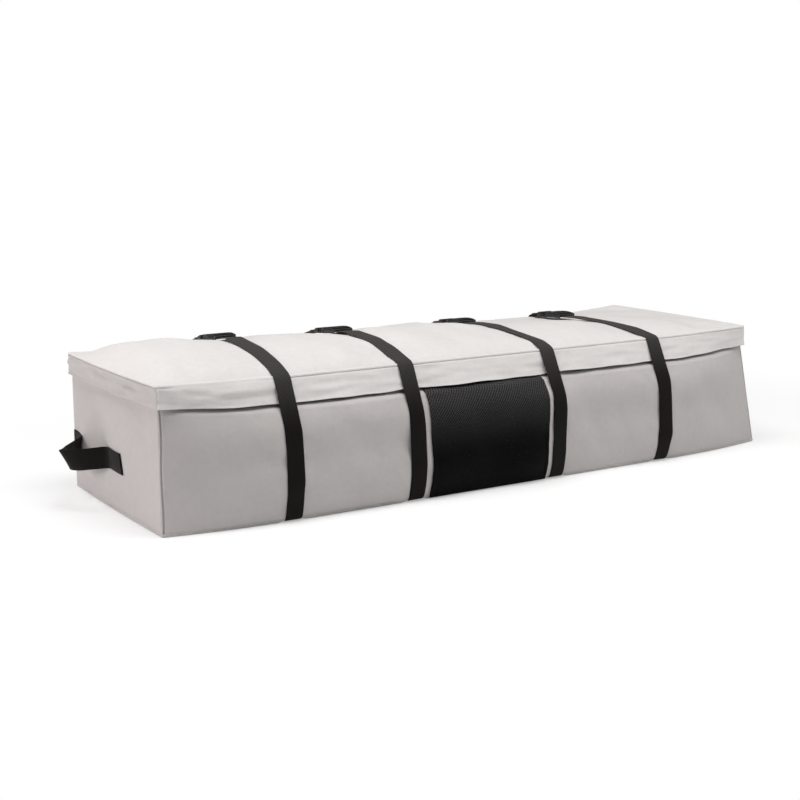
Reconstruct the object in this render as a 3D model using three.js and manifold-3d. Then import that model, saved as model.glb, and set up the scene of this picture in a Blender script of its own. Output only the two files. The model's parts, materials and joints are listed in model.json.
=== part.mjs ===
// Soft roof cargo bag: a long sewn box with a crowned lid, a storm flap over the zip,
// four lashing straps with side-release buckles and a webbing handle at each end.
// Units are millimetres. X runs along the bag, the front faces -Y, +Z is up, and the
// origin is on the ground at the middle of the bag.

import * as THREE from 'three';
import { mergeVertices } from 'three/addons/utils/BufferGeometryUtils.js';
import Module from 'manifold-3d';

const wasm = await Module();
wasm.setup();

// Overall sizes of the packed bag, at its seams
const bag_length = 1340;
const bag_width = 400;
const bag_height = 249;
const fabric = 2;
const seam_gap = 0.3;

// How the filled bag bows out of its flat pattern
const base_side_bow = 25;
const top_side_bow = -38;
const side_bulge = 34;
const straight_band = 39.84;
const straight_share = 1 - straight_band / bag_height;
const side_flat_share = 0.62;
const end_edge_bow = 3;
const end_bulge = 9;
const end_bow_share = 0.25;
const right_top_lean = 50;
const lean_share = 0.5;
const seam_dip = 8;
const crest_height = 28;
const crest_fall = 20;
const crest_flat_share = 0.8;
const crest_place = -0.25;

// Lid skirt, the storm flap that hangs over the zip on three sides
const skirt_depth = 42;
const skirt_stand = 5;
const skirt_flare = 14;
const end_skirt_stand = 2.5;
const end_skirt_flare = 1;

// Webbing straps, from left to right
const strap_places = [-443, -198, 117, 382];
const strap_names = ['left_outer', 'left_inner', 'right_inner', 'right_outer'];
const webbing_width = 32;
const webbing = 1.8;
const webbing_clearance = 0.5;
const strap_press = 6;
const strap_press_reach = 45;
const groove_ramp = 12;
const ground_clearance = 0.2;
const strap_fold = 26;
const strap_free_run = 4;
const fold_lead = 12;

// Dark woven panel on the front, between the two inner straps
const mesh_margin = 11.5;
const mesh_panel = 1.2;
const mesh_hem = 4;
const mesh_tuck = 2;

// Zip along the left end, the front and the right end
const zip_drop = 22;
const teeth_row = 2.6;
const teeth_depth = 2.6;
const teeth_parting = 1.6;
const tape_height = 12;
const tape = 0.8;
const tape_overlap = 8.5;

// Zip sliders and their pull tabs
const slider_length = 15;
const slider_nose = 7;
const slider_plate = 1.2;
const slider_clearance = 0.4;
const slider_rim = 1;
const slider_corner = 1;
const slider_belly = 2;
const slider_spacing = 19;
const bail_opening = 1.9;
const bail_wall = 0.8;
const bail_span = 6;
const bail_length = 2;
const bail_root = 0.4;
const tab_length = 17;
const tab_width = 7;
const tab_thickness = 1;
const tab_bar = 1.4;
const tab_window_height = 4.2;
const tab_corner = 1;
const tab_tip = 3;
const tab_slot_width = 2;
const tab_slot_length = 3;
const tab_slot_above_tip = 3.5;

// Side-release buckles
const buckle_places = [61, 64, 104, 112];
const buckle_width = 47;
const buckle_height = 11;
const buckle_end_height = 6.4;
const buckle_crown = 0.6;
const buckle_corner = 4;
const buckle_taper = 2;
const female_length = 42;
const pocket_depth = 27;
const pocket_width = 35;
const pocket_height = 6;
const window_length = 15;
const window_start = 7;
const window_depth = 4;
const window_corner = 1;
const male_frame = 30;
const male_rail = 4.6;
const male_bar = 4;
const male_root = 7;
const prong_reach = 23;
const prong_width = 6;
const prong_thickness = 4.6;
const prong_step = 1.2;
const prong_lead = 4;
const prong_tip = 3;
const prong_thinning = 1.5;
const tongue_width = 8;
const tongue_setback = 1;
const loop_slot = 6;
const loop_bar = 4.4;
const loop_play = 1;
const buckle_clearance = 0.4;
const buckle_travel = 25;

// Webbing handles, one sewn to each end panel
const handle_width = 38;
const handle_height = 101;
const handle_middle = 68;
const handle_gap = 145;
const handle_tab = 52;
const handle_reach = 56;
const handle_lean = -8;

const half_length = bag_length / 2;
const half_width = bag_width / 2;

// How finely the curved panels are divided
const long_steps = 16;
const end_steps = 8;
const wall_rows = 6;
const skirt_rows = 4;
const lid_steps = 12;
const webbing_columns = 2;
const closest_stations = 0.004;

// Shape of the filled bag

// 1 along the straight middle, falling to 0 at the two ends of the range -1 to 1
function plateau(u, flat_share) {
  const past = Math.max(0, Math.abs(u) - flat_share) / (1 - flat_share);
  return 1 - Math.min(1, past) ** 2;
}

function smooth_step(t) {
  const s = Math.min(1, Math.max(0, t));
  return s * s * (3 - 2 * s);
}

function arch(v) {
  return Math.max(0, 1 - v * v);
}

// An arch across the lid whose crest lies in front of the middle
function lid_arch(v) {
  const from_crest = v - crest_place;
  return arch(from_crest / (1 - Math.sign(from_crest) * crest_place));
}

// Height of the seam between the lid and its skirt
function seam_z(u) {
  return bag_height - seam_dip * plateau(u, side_flat_share);
}

// How far the front and back stand out from the middle plane, at height share height.
// Near the top the walls stand straight, so that the zip lies flat.
function side_y(u, height) {
  const w = Math.min(height, straight_share);
  const bow = base_side_bow * (1 - w) + top_side_bow * w + side_bulge * 4 * w * (1 - w);
  return half_width + plateau(u, side_flat_share) * bow;
}

// The right end of the packed bag leans in towards its top
function lean_x(u, w) {
  return (right_top_lean * w * smooth_step((u - 1 + lean_share) / lean_share)) / straight_share;
}

function bag_x(u, v, height) {
  const w = Math.min(height, straight_share);
  const near_end = Math.max(0, Math.abs(u) - 1 + end_bow_share) / end_bow_share;
  const swell = end_edge_bow * (1 - w) + end_bulge * 4 * w * (1 - w);
  const bow = swell * arch(v) * Math.min(1, near_end) ** 2;
  return u * half_length + Math.sign(u) * bow - lean_x(u, w);
}

// The straps pull the crown of the lid down where they cross it
function press_at(x) {
  let press = 0;
  for (const place of strap_places) {
    press += strap_press * Math.exp(-(((x - place) / strap_press_reach) ** 2));
  }
  return press;
}

// Underside of the lid
function lid_z(u, v) {
  const crest = crest_height - crest_fall * u - press_at(bag_x(u, v, 1));
  return seam_z(u) + crest * lid_arch(v) * plateau(u, crest_flat_share);
}

// The base rides over the straps that run under it
function base_z(x) {
  const rise = ground_clearance + webbing + webbing_clearance;
  const reach = webbing_width / 2 + webbing_clearance;
  let height = 0;
  for (const place of strap_places) {
    const past = (Math.abs(x - place) - reach) / groove_ramp;
    height = Math.max(height, rise * (1 - smooth_step(past)));
  }
  return height;
}

// Length shares at which the long panels are divided, with extra lines beside each strap
function long_stations(overhang) {
  const marks = [];
  for (let i = 0; i <= long_steps; i += 1) {
    marks.push(-1 + (2 * i) / long_steps);
  }
  const reach = webbing_width / 2 + webbing_clearance;
  for (const place of strap_places) {
    marks.push(place / half_length);
    for (const side of [-1, 1]) {
      for (const past of [0, groove_ramp]) {
        marks.push((place + side * (reach + past)) / half_length);
      }
    }
  }
  marks.sort((a, b) => a - b);
  const kept = [];
  for (const mark of marks) {
    const last = kept[kept.length - 1];
    if (kept.length === 0 || mark - last > closest_stations) {
      kept.push(mark);
    }
  }
  kept[kept.length - 1] = 1;
  if (overhang > 0) {
    kept.unshift(-1 - overhang);
    kept.push(1 + overhang);
  }
  return kept;
}

// Turns a geometry into one closed body: shared corners, faces pointing out
function closed(geometry) {
  geometry.deleteAttribute('normal');
  geometry.deleteAttribute('uv');
  const merged = mergeVertices(geometry, 1e-4);
  const position = merged.attributes.position;
  const index = merged.index.array;
  const a = new THREE.Vector3();
  const b = new THREE.Vector3();
  const c = new THREE.Vector3();
  let volume = 0;
  for (let i = 0; i < index.length; i += 3) {
    a.fromBufferAttribute(position, index[i]);
    b.fromBufferAttribute(position, index[i + 1]);
    c.fromBufferAttribute(position, index[i + 2]);
    volume += a.dot(b.cross(c));
  }
  if (volume < 0) {
    for (let i = 0; i < index.length; i += 3) {
      [index[i + 1], index[i + 2]] = [index[i + 2], index[i + 1]];
    }
  }
  return merged;
}

// A slab whose grid follows place(i, j, k), with i and k along its two long sides and
// j = 0 or 1 on its two faces
function slab(count_i, count_k, place) {
  const geometry = new THREE.BoxGeometry(1, 1, 1, count_i, 1, count_k);
  const position = geometry.attributes.position;
  for (let n = 0; n < position.count; n += 1) {
    const i = Math.round((position.getX(n) + 0.5) * count_i);
    const j = Math.round(position.getY(n) + 0.5);
    const k = Math.round((position.getZ(n) + 0.5) * count_k);
    const [x, y, z] = place(i, j, k);
    position.setXYZ(n, x, y, z);
  }
  return closed(geometry);
}

function solid_of(geometry) {
  const merged = closed(geometry.clone());
  return new wasm.Manifold(new wasm.Mesh({
    numProp: 3,
    vertProperties: new Float32Array(merged.attributes.position.array),
    triVerts: new Uint32Array(merged.index.array),
  }));
}

function geometry_of(solid) {
  const mesh = solid.getMesh();
  const geometry = new THREE.BufferGeometry();
  geometry.setAttribute('position', new THREE.BufferAttribute(new Float32Array(mesh.vertProperties), 3));
  geometry.setIndex(Array.from(mesh.triVerts));
  return geometry;
}

function box_between(x0, x1, y0, y1, z0, z1) {
  const geometry = new THREE.BoxGeometry(x1 - x0, y1 - y0, z1 - z0);
  geometry.translate((x0 + x1) / 2, (y0 + y1) / 2, (z0 + z1) / 2);
  return geometry;
}

// Materials

function finish(colour, roughness, metalness) {
  return new THREE.MeshStandardMaterial({ color: colour, roughness, metalness });
}

const canvas_grey = () => finish(0xb9b4b0, 0.75, 0);
const lid_grey = () => finish(0xd8d4d1, 0.75, 0);
const black_webbing = () => finish(0x1d1b1b, 0.8, 0);
const black_mesh = () => finish(0x262525, 0.65, 0);
const black_plastic = () => finish(0x161616, 0.35, 0);
const zip_black = () => finish(0x222222, 0.6, 0);
const zip_metal = () => finish(0x3a3a3c, 0.35, 0.8);

const bag = new THREE.Group();

function add_piece(parent, name, geometry, material) {
  const mesh = new THREE.Mesh(geometry, material);
  mesh.name = name;
  parent.add(mesh);
  return mesh;
}

// Sewn panels

// Width share at which pieces between the front and the back walls end
const inner_share = 1 - (fabric + seam_gap) / half_width;

function base_panel() {
  const stations = long_stations(0);
  return slab(stations.length - 1, end_steps, (i, j, k) => {
    const u = stations[i];
    const v = -1 + (2 * k) / end_steps;
    const x = bag_x(u, v, 0);
    return [x, v * side_y(u, 0), base_z(x) + j * fabric];
  });
}

// Top of the front, back and end walls, just under the zip
function wall_top(u) {
  return seam_z(u) - zip_drop - teeth_parting / 2 - teeth_row - seam_gap - (tape_height - tape_overlap);
}

// Height of row k of a wall: even rows up to where the wall turns straight, then the top
function wall_z(u, k, bottom, top) {
  if (k === wall_rows) {
    return top;
  }
  return THREE.MathUtils.lerp(bottom, straight_share * seam_z(u), k / (wall_rows - 1));
}

function side_panel(side, top_at) {
  const stations = long_stations(0);
  return slab(stations.length - 1, wall_rows, (i, j, k) => {
    const u = stations[i];
    const bottom = base_z(bag_x(u, side, 0)) + fabric + seam_gap;
    const z = wall_z(u, k, bottom, top_at(u));
    const w = z / seam_z(u);
    return [bag_x(u, side, w), side * (side_y(u, w) - j * fabric), z];
  });
}

function end_panel(side) {
  return slab(end_steps, wall_rows, (i, j, k) => {
    const v = inner_share * (-1 + (2 * i) / end_steps);
    const z = wall_z(side, k, fabric + seam_gap, wall_top(side));
    const w = z / seam_z(side);
    return [bag_x(side, v, w) - side * j * fabric, v * half_width, z];
  });
}

// Width shares at which the lid is divided
const lid_shares = [];
for (let i = 0; i <= lid_steps; i += 1) {
  lid_shares.push(-1 + (2 * i) / lid_steps);
}

function lid_top_panel() {
  const stations = long_stations((end_skirt_stand + fabric) / half_length);
  const shares = [-1 - (skirt_stand + fabric) / half_width, ...lid_shares];
  return slab(stations.length - 1, shares.length - 1, (i, j, k) => {
    const u = stations[i];
    const v = shares[k];
    return [bag_x(u, v, 1), v * side_y(u, 1), lid_z(u, v) + j * fabric];
  });
}

// Stations of a band that runs along the left end, the front and the right end, each with
// the direction in which the band stands out there
function band_stations(back_share) {
  const stations = [];
  const front_marks = long_stations(0);
  for (let i = 0; i < end_steps; i += 1) {
    stations.push({ u: -1, v: back_share * (1 - (2 * i) / end_steps), out: [-1, 0] });
  }
  stations.push({ u: -1, v: -1, out: [-1, -1] });
  for (const mark of front_marks.slice(1, -1)) {
    stations.push({ u: mark, v: -1, out: [0, -1] });
  }
  stations.push({ u: 1, v: -1, out: [1, -1] });
  for (let i = 1; i <= end_steps; i += 1) {
    stations.push({ u: 1, v: back_share * (-1 + (2 * i) / end_steps), out: [1, 0] });
  }
  return stations;
}

// A band between two offsets from the wall and two heights below the lid seam
function band(rows, back_share, offset_at, drop_at) {
  const stations = band_stations(back_share);
  return slab(stations.length - 1, rows, (i, j, k) => {
    const { u, v, out } = stations[i];
    const z = seam_z(u) - drop_at(k / rows);
    const w = z / seam_z(u);
    const offset = offset_at(j, k / rows, u);
    return [bag_x(u, v, w) + out[0] * offset.end, v * side_y(u, w) + out[1] * offset.front, z];
  });
}

// The skirt lies close to the end walls and stands further off the front wall
function skirt_offset(u, share) {
  const flare = THREE.MathUtils.lerp(end_skirt_flare, skirt_flare, plateau(u, side_flat_share));
  return skirt_stand + flare * share;
}

function lid_skirt() {
  return band(
    skirt_rows,
    1,
    (j, share, u) => ({
      end: end_skirt_stand + end_skirt_flare * share + j * fabric,
      front: skirt_offset(u, share) + j * fabric,
    }),
    (share) => seam_gap + share * (skirt_depth - seam_gap),
  );
}

// Zip tapes lie on the inside of the wall fabric, the teeth stand in the gap above it
const tape_outer = -(fabric + seam_gap);
const tape_inner = tape_outer - tape;
const teeth_middle = (tape_outer + tape_inner) / 2;
const teeth_top = zip_drop - teeth_parting / 2 - teeth_row;
const teeth_bottom = zip_drop + teeth_parting / 2 + teeth_row;

function zip_band(drop_low, drop_high, inner, outer) {
  return band(
    1,
    inner_share,
    (j) => (j === 0 ? { end: inner, front: inner } : { end: outer, front: outer }),
    (share) => THREE.MathUtils.lerp(drop_low, drop_high, share),
  );
}

function zip_teeth(drop_low, drop_high) {
  return zip_band(drop_low, drop_high, teeth_middle - teeth_depth / 2, teeth_middle + teeth_depth / 2);
}

function mesh_panel_piece() {
  const left = strap_places[1] + webbing_width / 2 + mesh_margin;
  const right = strap_places[2] - webbing_width / 2 - mesh_margin;
  // Its rows lie on those of the wall behind it, so that it follows the same curve
  return slab(end_steps, wall_rows - 1, (i, j, k) => {
    const x = THREE.MathUtils.lerp(left, right, i / end_steps);
    const u = x / half_length;
    const top = seam_z(u) - skirt_depth + mesh_tuck;
    const row = wall_z(u, k, base_z(x) + fabric + seam_gap, wall_top(u));
    const z = THREE.MathUtils.clamp(row, fabric + mesh_hem, top);
    const w = z / seam_z(u);
    return [x, -(side_y(u, w) + seam_gap + j * mesh_panel), z];
  });
}

add_piece(bag, 'base_panel', base_panel(), canvas_grey());
// The front wall stops under the zip, the back wall runs up to the lid as its hinge
add_piece(bag, 'front_panel', side_panel(-1, wall_top), canvas_grey());
add_piece(bag, 'back_panel', side_panel(1, (u) => seam_z(u) - seam_gap), canvas_grey());
add_piece(bag, 'left_end_panel', end_panel(-1), canvas_grey());
add_piece(bag, 'right_end_panel', end_panel(1), canvas_grey());
add_piece(bag, 'lid_top_panel', lid_top_panel(), lid_grey());
add_piece(bag, 'lid_skirt', lid_skirt(), lid_grey());
add_piece(bag, 'front_mesh_panel', mesh_panel_piece(), black_mesh());
add_piece(
  bag,
  'zip_tape_lower',
  zip_band(teeth_bottom + seam_gap, teeth_bottom + seam_gap + tape_height, tape_inner, tape_outer),
  zip_black(),
);
add_piece(
  bag,
  'zip_tape_upper',
  zip_band(2 * seam_gap, teeth_top - seam_gap, tape_inner, tape_outer),
  zip_black(),
);
add_piece(
  bag,
  'zip_teeth_lower',
  zip_teeth(zip_drop + teeth_parting / 2, teeth_bottom),
  zip_black(),
);
add_piece(bag, 'zip_teeth_upper', zip_teeth(teeth_top, zip_drop - teeth_parting / 2), zip_black());

// Zip sliders. The profile is drawn across the zip: x is the offset out of the wall and
// y the height above the middle of the teeth.

const slider_inside = teeth_middle - teeth_depth / 2 - slider_clearance;
const slider_outside = teeth_middle + teeth_depth / 2 + slider_clearance;
const slider_half = teeth_parting / 2 + teeth_row + slider_clearance + slider_rim;
const slider_web = teeth_parting / 2 - slider_clearance;

function slider_body() {
  const rim_inside = tape_inner - slider_clearance;
  const rim_outside = tape_outer + slider_clearance;
  const rim_start = slider_half - slider_rim;
  const upper = [
    [slider_inside, slider_web],
    [slider_inside, rim_start],
    [rim_inside, rim_start],
    [rim_inside, slider_half],
    [slider_inside - slider_plate, slider_half],
  ];
  const outer = [
    [slider_outside + slider_plate, slider_half],
    [rim_outside, slider_half],
    [rim_outside, rim_start],
    [slider_outside, rim_start],
    [slider_outside, slider_web],
  ];
  const right = [...outer, ...upper];
  const left = right.map(([x, y]) => [x, -y]).reverse();
  const profile = new THREE.Shape([...right, ...left].map(([x, y]) => new THREE.Vector2(x, y)));
  const rail = new THREE.ExtrudeGeometry(profile, { depth: slider_length, bevelEnabled: false });
  rail.translate(0, 0, -slider_length / 2);
  // Profile x becomes -Y, profile y becomes Z, depth becomes X
  rail.applyMatrix4(new THREE.Matrix4().set(0, 0, 1, 0, -1, 0, 0, 0, 0, 1, 0, 0, 0, 0, 0, 1));
  // Seen from the front, the slider narrows to its nose
  const nose = slider_nose / 2;
  const tail = slider_half - slider_corner;
  const belly = slider_half + slider_belly;
  const outline = new THREE.Shape();
  outline.moveTo(-slider_length / 2, -tail);
  outline.lineTo(-slider_length / 2, tail);
  outline.quadraticCurveTo(0, belly, slider_length / 2, nose);
  outline.lineTo(slider_length / 2, -nose);
  outline.quadraticCurveTo(0, -belly, -slider_length / 2, -tail);
  const depth = 2 * Math.max(slider_outside + slider_plate, slider_plate - slider_inside) + fabric;
  const cutter = new THREE.ExtrudeGeometry(outline, { depth, bevelEnabled: false, curveSegments: 6 });
  cutter.translate(0, 0, -depth / 2);
  cutter.rotateX(Math.PI / 2);
  return solid_of(rail).intersect(solid_of(cutter));
}

// Bail: a small bridge on the outer plate, open along the zip
const bail_base = slider_outside + slider_plate;
const bail_middle = bail_base + bail_opening / 2;

function slider_piece(facing) {
  const outer = box_between(
    -bail_length / 2,
    bail_length / 2,
    -(bail_base + bail_opening + bail_wall),
    -(bail_base - bail_root),
    -bail_span / 2,
    bail_span / 2,
  );
  const inner = box_between(
    -bail_length,
    bail_length,
    -(bail_base + bail_opening),
    -bail_base,
    -bail_span / 2 + bail_wall,
    bail_span / 2 - bail_wall,
  );
  const bridge = solid_of(outer).subtract(solid_of(inner));
  let solid = slider_body().add(bridge);
  if (facing < 0) {
    solid = solid.mirror([1, 0, 0]);
  }
  return geometry_of(solid);
}

// Pull tab: a plate whose window lets it hang on the lower leg of the bail
function pull_tab() {
  const half = tab_width / 2;
  const neck = half - tab_corner;
  const outline = new THREE.Shape();
  outline.moveTo(-neck, tab_bar / 2);
  outline.lineTo(neck, tab_bar / 2);
  outline.lineTo(half, -tab_corner);
  outline.lineTo(neck, -tab_length + tab_tip);
  outline.quadraticCurveTo(neck, -tab_length, 0, -tab_length);
  outline.quadraticCurveTo(-neck, -tab_length, -neck, -tab_length + tab_tip);
  outline.lineTo(-half, -tab_corner);
  const window = new THREE.Path();
  const reach = bail_length / 2 + slider_clearance;
  window.moveTo(-reach, -tab_bar / 2);
  window.lineTo(-reach, -tab_bar / 2 - tab_window_height);
  window.lineTo(reach, -tab_bar / 2 - tab_window_height);
  window.lineTo(reach, -tab_bar / 2);
  outline.holes.push(window);
  const slot_low = -tab_length + tab_slot_above_tip;
  const slot_high = slot_low + tab_slot_length;
  const slot = new THREE.Path();
  slot.moveTo(-tab_slot_width / 2, slot_high);
  slot.lineTo(-tab_slot_width / 2, slot_low);
  slot.lineTo(tab_slot_width / 2, slot_low);
  slot.lineTo(tab_slot_width / 2, slot_high);
  outline.holes.push(slot);
  const plate = new THREE.ExtrudeGeometry(outline, {
    depth: tab_thickness,
    bevelEnabled: false,
    curveSegments: 6,
  });
  plate.translate(0, 0, -tab_thickness / 2);
  plate.rotateX(Math.PI / 2);
  return closed(plate);
}

const zip_z = seam_z(0) - zip_drop;
const zip_y = -side_y(0, zip_z / seam_z(0));
const slider_sides = { left: -1, right: 1 };
for (const [name, side] of Object.entries(slider_sides)) {
  const x = (side * slider_spacing) / 2;
  const slider = add_piece(bag, `zip_slider_${name}`, slider_piece(side), zip_metal());
  slider.position.set(x, zip_y, zip_z);
  const tab = add_piece(bag, `zip_pull_${name}`, pull_tab(), zip_metal());
  tab.position.set(x, zip_y - bail_middle, zip_z);
}

// Buckles. In a buckle's own frame Y points to the back of the bag, Z out of the lid, and
// the origin is where the two halves meet.

// Side profile of the closed buckle, thin at both ends
function buckle_profile(front, back) {
  const low = -buckle_height / 2;
  const middle = buckle_height / 2;
  const end = low + buckle_end_height;
  const shape = new THREE.Shape();
  shape.moveTo(front, low);
  shape.lineTo(back, low);
  shape.lineTo(back, end);
  shape.quadraticCurveTo(back / 2, middle + buckle_crown, 0, middle);
  shape.quadraticCurveTo(front / 2, middle + buckle_crown, front, end);
  return shape;
}

function across_x(shape, width) {
  const geometry = new THREE.ExtrudeGeometry(shape, { depth: width, bevelEnabled: false, curveSegments: 8 });
  geometry.translate(0, 0, -width / 2);
  // Shape x becomes Y, shape y becomes Z, depth becomes X
  geometry.applyMatrix4(new THREE.Matrix4().set(0, 0, 1, 0, 1, 0, 0, 0, 0, 1, 0, 0, 0, 0, 0, 1));
  return solid_of(geometry);
}

function plan_cut(shape, low, high) {
  const geometry = new THREE.ExtrudeGeometry(shape, {
    depth: high - low,
    bevelEnabled: false,
    curveSegments: 6,
  });
  geometry.translate(0, 0, low);
  return solid_of(geometry);
}

function rounded_plan(half_front, half_back, front, back, corner) {
  const shape = new THREE.Shape();
  shape.moveTo(-half_front, front + corner);
  shape.quadraticCurveTo(-half_front, front, -half_front + corner, front);
  shape.lineTo(half_front - corner, front);
  shape.quadraticCurveTo(half_front, front, half_front, front + corner);
  shape.lineTo(half_back, back - corner);
  shape.quadraticCurveTo(half_back, back, half_back - corner, back);
  shape.lineTo(-half_back + corner, back);
  shape.quadraticCurveTo(-half_back, back, -half_back, back - corner);
  return shape;
}

const male_length = male_frame + male_root;
const strap_plane = -buckle_height / 2 + webbing_clearance + fabric / 2 + webbing / 2;
const middle_half = buckle_width / 2;
const end_half = middle_half - buckle_taper;
const loop_half = webbing_width / 2 + loop_play;
const tall = buckle_height;

function female_half() {
  const body = across_x(buckle_profile(-male_length, female_length), 2 * buckle_width);
  const plan = rounded_plan(middle_half, end_half, 0, female_length, buckle_corner);
  let solid = body.intersect(plan_cut(plan, -tall, tall));
  const pocket = box_between(
    -pocket_width / 2,
    pocket_width / 2,
    -buckle_corner,
    pocket_depth,
    -pocket_height / 2,
    pocket_height / 2,
  );
  solid = solid.subtract(solid_of(pocket));
  for (const side of [-1, 1]) {
    const window_end = window_start + window_length;
    const cut = rounded_plan(window_depth, window_depth, window_start, window_end, window_corner);
    const window = plan_cut(cut, -pocket_height / 2, tall).translate([side * middle_half, 0, 0]);
    solid = solid.subtract(window);
  }
  const bar_front = female_length - loop_bar;
  const slot = box_between(-loop_half, loop_half, bar_front - loop_slot, bar_front, -tall, tall);
  solid = solid.subtract(solid_of(slot));
  // The bar that the webbing folds round is thinner than the ends beside it
  const bar_half = Math.abs(strap_plane) - webbing / 2 - seam_gap;
  for (const [low, high] of [[bar_half, tall], [-tall, -bar_half]]) {
    const relief = box_between(
      -loop_half,
      loop_half,
      bar_front - loop_play,
      female_length + loop_play,
      low,
      high,
    );
    solid = solid.subtract(solid_of(relief));
  }
  return geometry_of(solid);
}

function male_half() {
  const body = across_x(buckle_profile(-male_length, female_length), 2 * buckle_width);
  const plan = rounded_plan(end_half, middle_half, -male_length, -buckle_clearance, buckle_corner);
  let solid = body.intersect(plan_cut(plan, -tall, tall));
  const inner_half = middle_half - male_rail;
  const under_bar = strap_plane + webbing / 2 + buckle_clearance;
  // The webbing runs in a channel under the whole half
  const channel = box_between(-inner_half, inner_half, -2 * male_length, tall, -tall, under_bar);
  solid = solid.subtract(solid_of(channel));
  // Two windows leave a front bar and a middle bar over the webbing
  const window = (male_frame - 2 * male_bar) / 2;
  for (const row of [0, 1]) {
    const start = -male_length + male_bar + row * (window + male_bar);
    const opening = box_between(-inner_half, inner_half, start, start + window, -tall, tall);
    solid = solid.subtract(solid_of(opening));
  }
  const low = Math.max(-prong_thickness / 2, under_bar);
  const high = prong_thickness / 2;
  // Two prongs with a press pad behind each side window, and a tongue between them
  const outer = pocket_width / 2 - buckle_clearance;
  const neck = outer - prong_step;
  const inner = outer - prong_width;
  const root = -2 * buckle_clearance;
  const pad = window_start + prong_lead;
  const tip = prong_reach - prong_tip;
  for (const side of [-1, 1]) {
    const prong = new THREE.Shape();
    prong.moveTo(side * neck, root);
    prong.lineTo(side * neck, window_start);
    prong.quadraticCurveTo(side * outer, window_start + prong_lead / 2, side * outer, pad);
    prong.lineTo(side * outer, tip - prong_tip);
    prong.quadraticCurveTo(side * outer, prong_reach, side * (inner + prong_thinning), prong_reach);
    prong.lineTo(side * inner, tip);
    prong.lineTo(side * inner, pad);
    prong.lineTo(side * (inner + prong_thinning), root);
    solid = solid.add(plan_cut(prong, low, high));
  }
  const tongue_half = tongue_width / 2;
  const tongue = rounded_plan(
    tongue_half,
    tongue_half - prong_thinning,
    root - prong_thinning,
    prong_reach - tongue_setback,
    prong_thinning,
  );
  solid = solid.add(plan_cut(tongue, low, high));
  return geometry_of(solid);
}

// Where each buckle lies: on the lid, tilted with it
function buckle_seat(index) {
  const x = strap_places[index];
  const u = x / half_length;
  const y = buckle_places[index];
  const reach = female_length;
  const surface = (at) => lid_z(u, at / side_y(u, 1)) + fabric;
  const tilt = Math.atan2(surface(y + reach) - surface(y - reach), 2 * reach);
  let lift = 0;
  // Lifted until the lid, which is crowned, clears the flat underside
  for (let i = 0; i <= long_steps; i += 1) {
    const along = THREE.MathUtils.lerp(-male_length, female_length, i / long_steps);
    for (const side of [-1, 0, 1]) {
      const xs = x + (side * buckle_width) / 2;
      const us = xs / half_length;
      const ys = y + along * Math.cos(tilt);
      const line = surface(y) + along * Math.sin(tilt);
      lift = Math.max(lift, lid_z(us, ys / side_y(us, 1)) + fabric - line);
    }
  }
  const rise = (buckle_height / 2 + lift + seam_gap) / Math.cos(tilt);
  return { x, y, z: surface(y) + rise, tilt };
}

const female_geometry = female_half();
const male_geometry = male_half();
strap_names.forEach((name, index) => {
  const seat = buckle_seat(index);
  const buckle = new THREE.Group();
  buckle.position.set(seat.x, seat.y, seat.z);
  buckle.rotation.x = seat.tilt;
  add_piece(buckle, `buckle_female_${name}`, female_geometry, black_plastic());
  add_piece(buckle, `buckle_male_${name}`, male_geometry, black_plastic());
  bag.add(buckle);
});

// Straps. Each is one length of webbing: from under the male half, over the lid, down the
// front, under the base, up the back and round the bar of the female half.

function cross(o, a, b) {
  return (a[0] - o[0]) * (b[1] - o[1]) - (a[1] - o[1]) * (b[0] - o[0]);
}

// Outline of a taut band round a set of points, counterclockwise
function taut_outline(points) {
  const sorted = [...points].sort((a, b) => a[0] - b[0] || a[1] - b[1]);
  const chain = (list) => {
    const kept = [];
    for (const point of list) {
      while (kept.length > 1 && cross(kept[kept.length - 2], kept[kept.length - 1], point) <= 1e-9) {
        kept.pop();
      }
      kept.push(point);
    }
    kept.pop();
    return kept;
  };
  return [...chain(sorted), ...chain(sorted.reverse())];
}

// Outline of the bag's own pieces across the place of a strap
function section_points(x) {
  const u = x / half_length;
  const bottom = base_z(x);
  const points = [[-side_y(u, 0), bottom], [side_y(u, 0), bottom]];
  for (let k = 0; k <= wall_rows; k += 1) {
    const front = wall_z(u, k, bottom + fabric, wall_top(u));
    const back = wall_z(u, k, bottom + fabric, seam_z(u));
    points.push([-side_y(u, front / seam_z(u)), front]);
    points.push([side_y(u, back / seam_z(u)), back]);
  }
  for (let i = 0; i <= skirt_rows; i += 1) {
    const share = i / skirt_rows;
    const z = seam_z(u) - share * skirt_depth;
    points.push([-side_y(u, z / seam_z(u)) - skirt_offset(u, share) - fabric, z]);
  }
  const rim = (1 + (skirt_stand + fabric) / half_width) * side_y(u, 1);
  points.push([-rim, seam_z(u)], [-rim, seam_z(u) + fabric]);
  for (const v of lid_shares) {
    points.push([v * side_y(u, 1), lid_z(u, v) + fabric]);
  }
  return points;
}

// Directions in which a taut strap faces at each corner of an outline, starting and ending
// at its straight run under the buckle. A sharp corner gets several directions.
const sharp_turn = 0.3;

function facing_angles(hull, first) {
  const count = hull.length;
  const start = hull.indexOf(first);
  const angles = [];
  const heading = (from, to) => Math.atan2(to[1] - from[1], to[0] - from[0]);
  let last = heading(hull[(start + count - 1) % count], hull[start]);
  for (let n = 0; n < count; n += 1) {
    const here = hull[(start + n) % count];
    const next = hull[(start + n + 1) % count];
    let turn = heading(here, next) - last;
    while (turn < 0) {
      turn += 2 * Math.PI;
    }
    const parts = Math.max(1, Math.ceil(turn / sharp_turn));
    for (let i = 0; i < parts; i += 1) {
      angles.push(last + (turn * (i + 0.5)) / parts - Math.PI / 2);
    }
    last += turn;
  }
  return angles;
}

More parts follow.
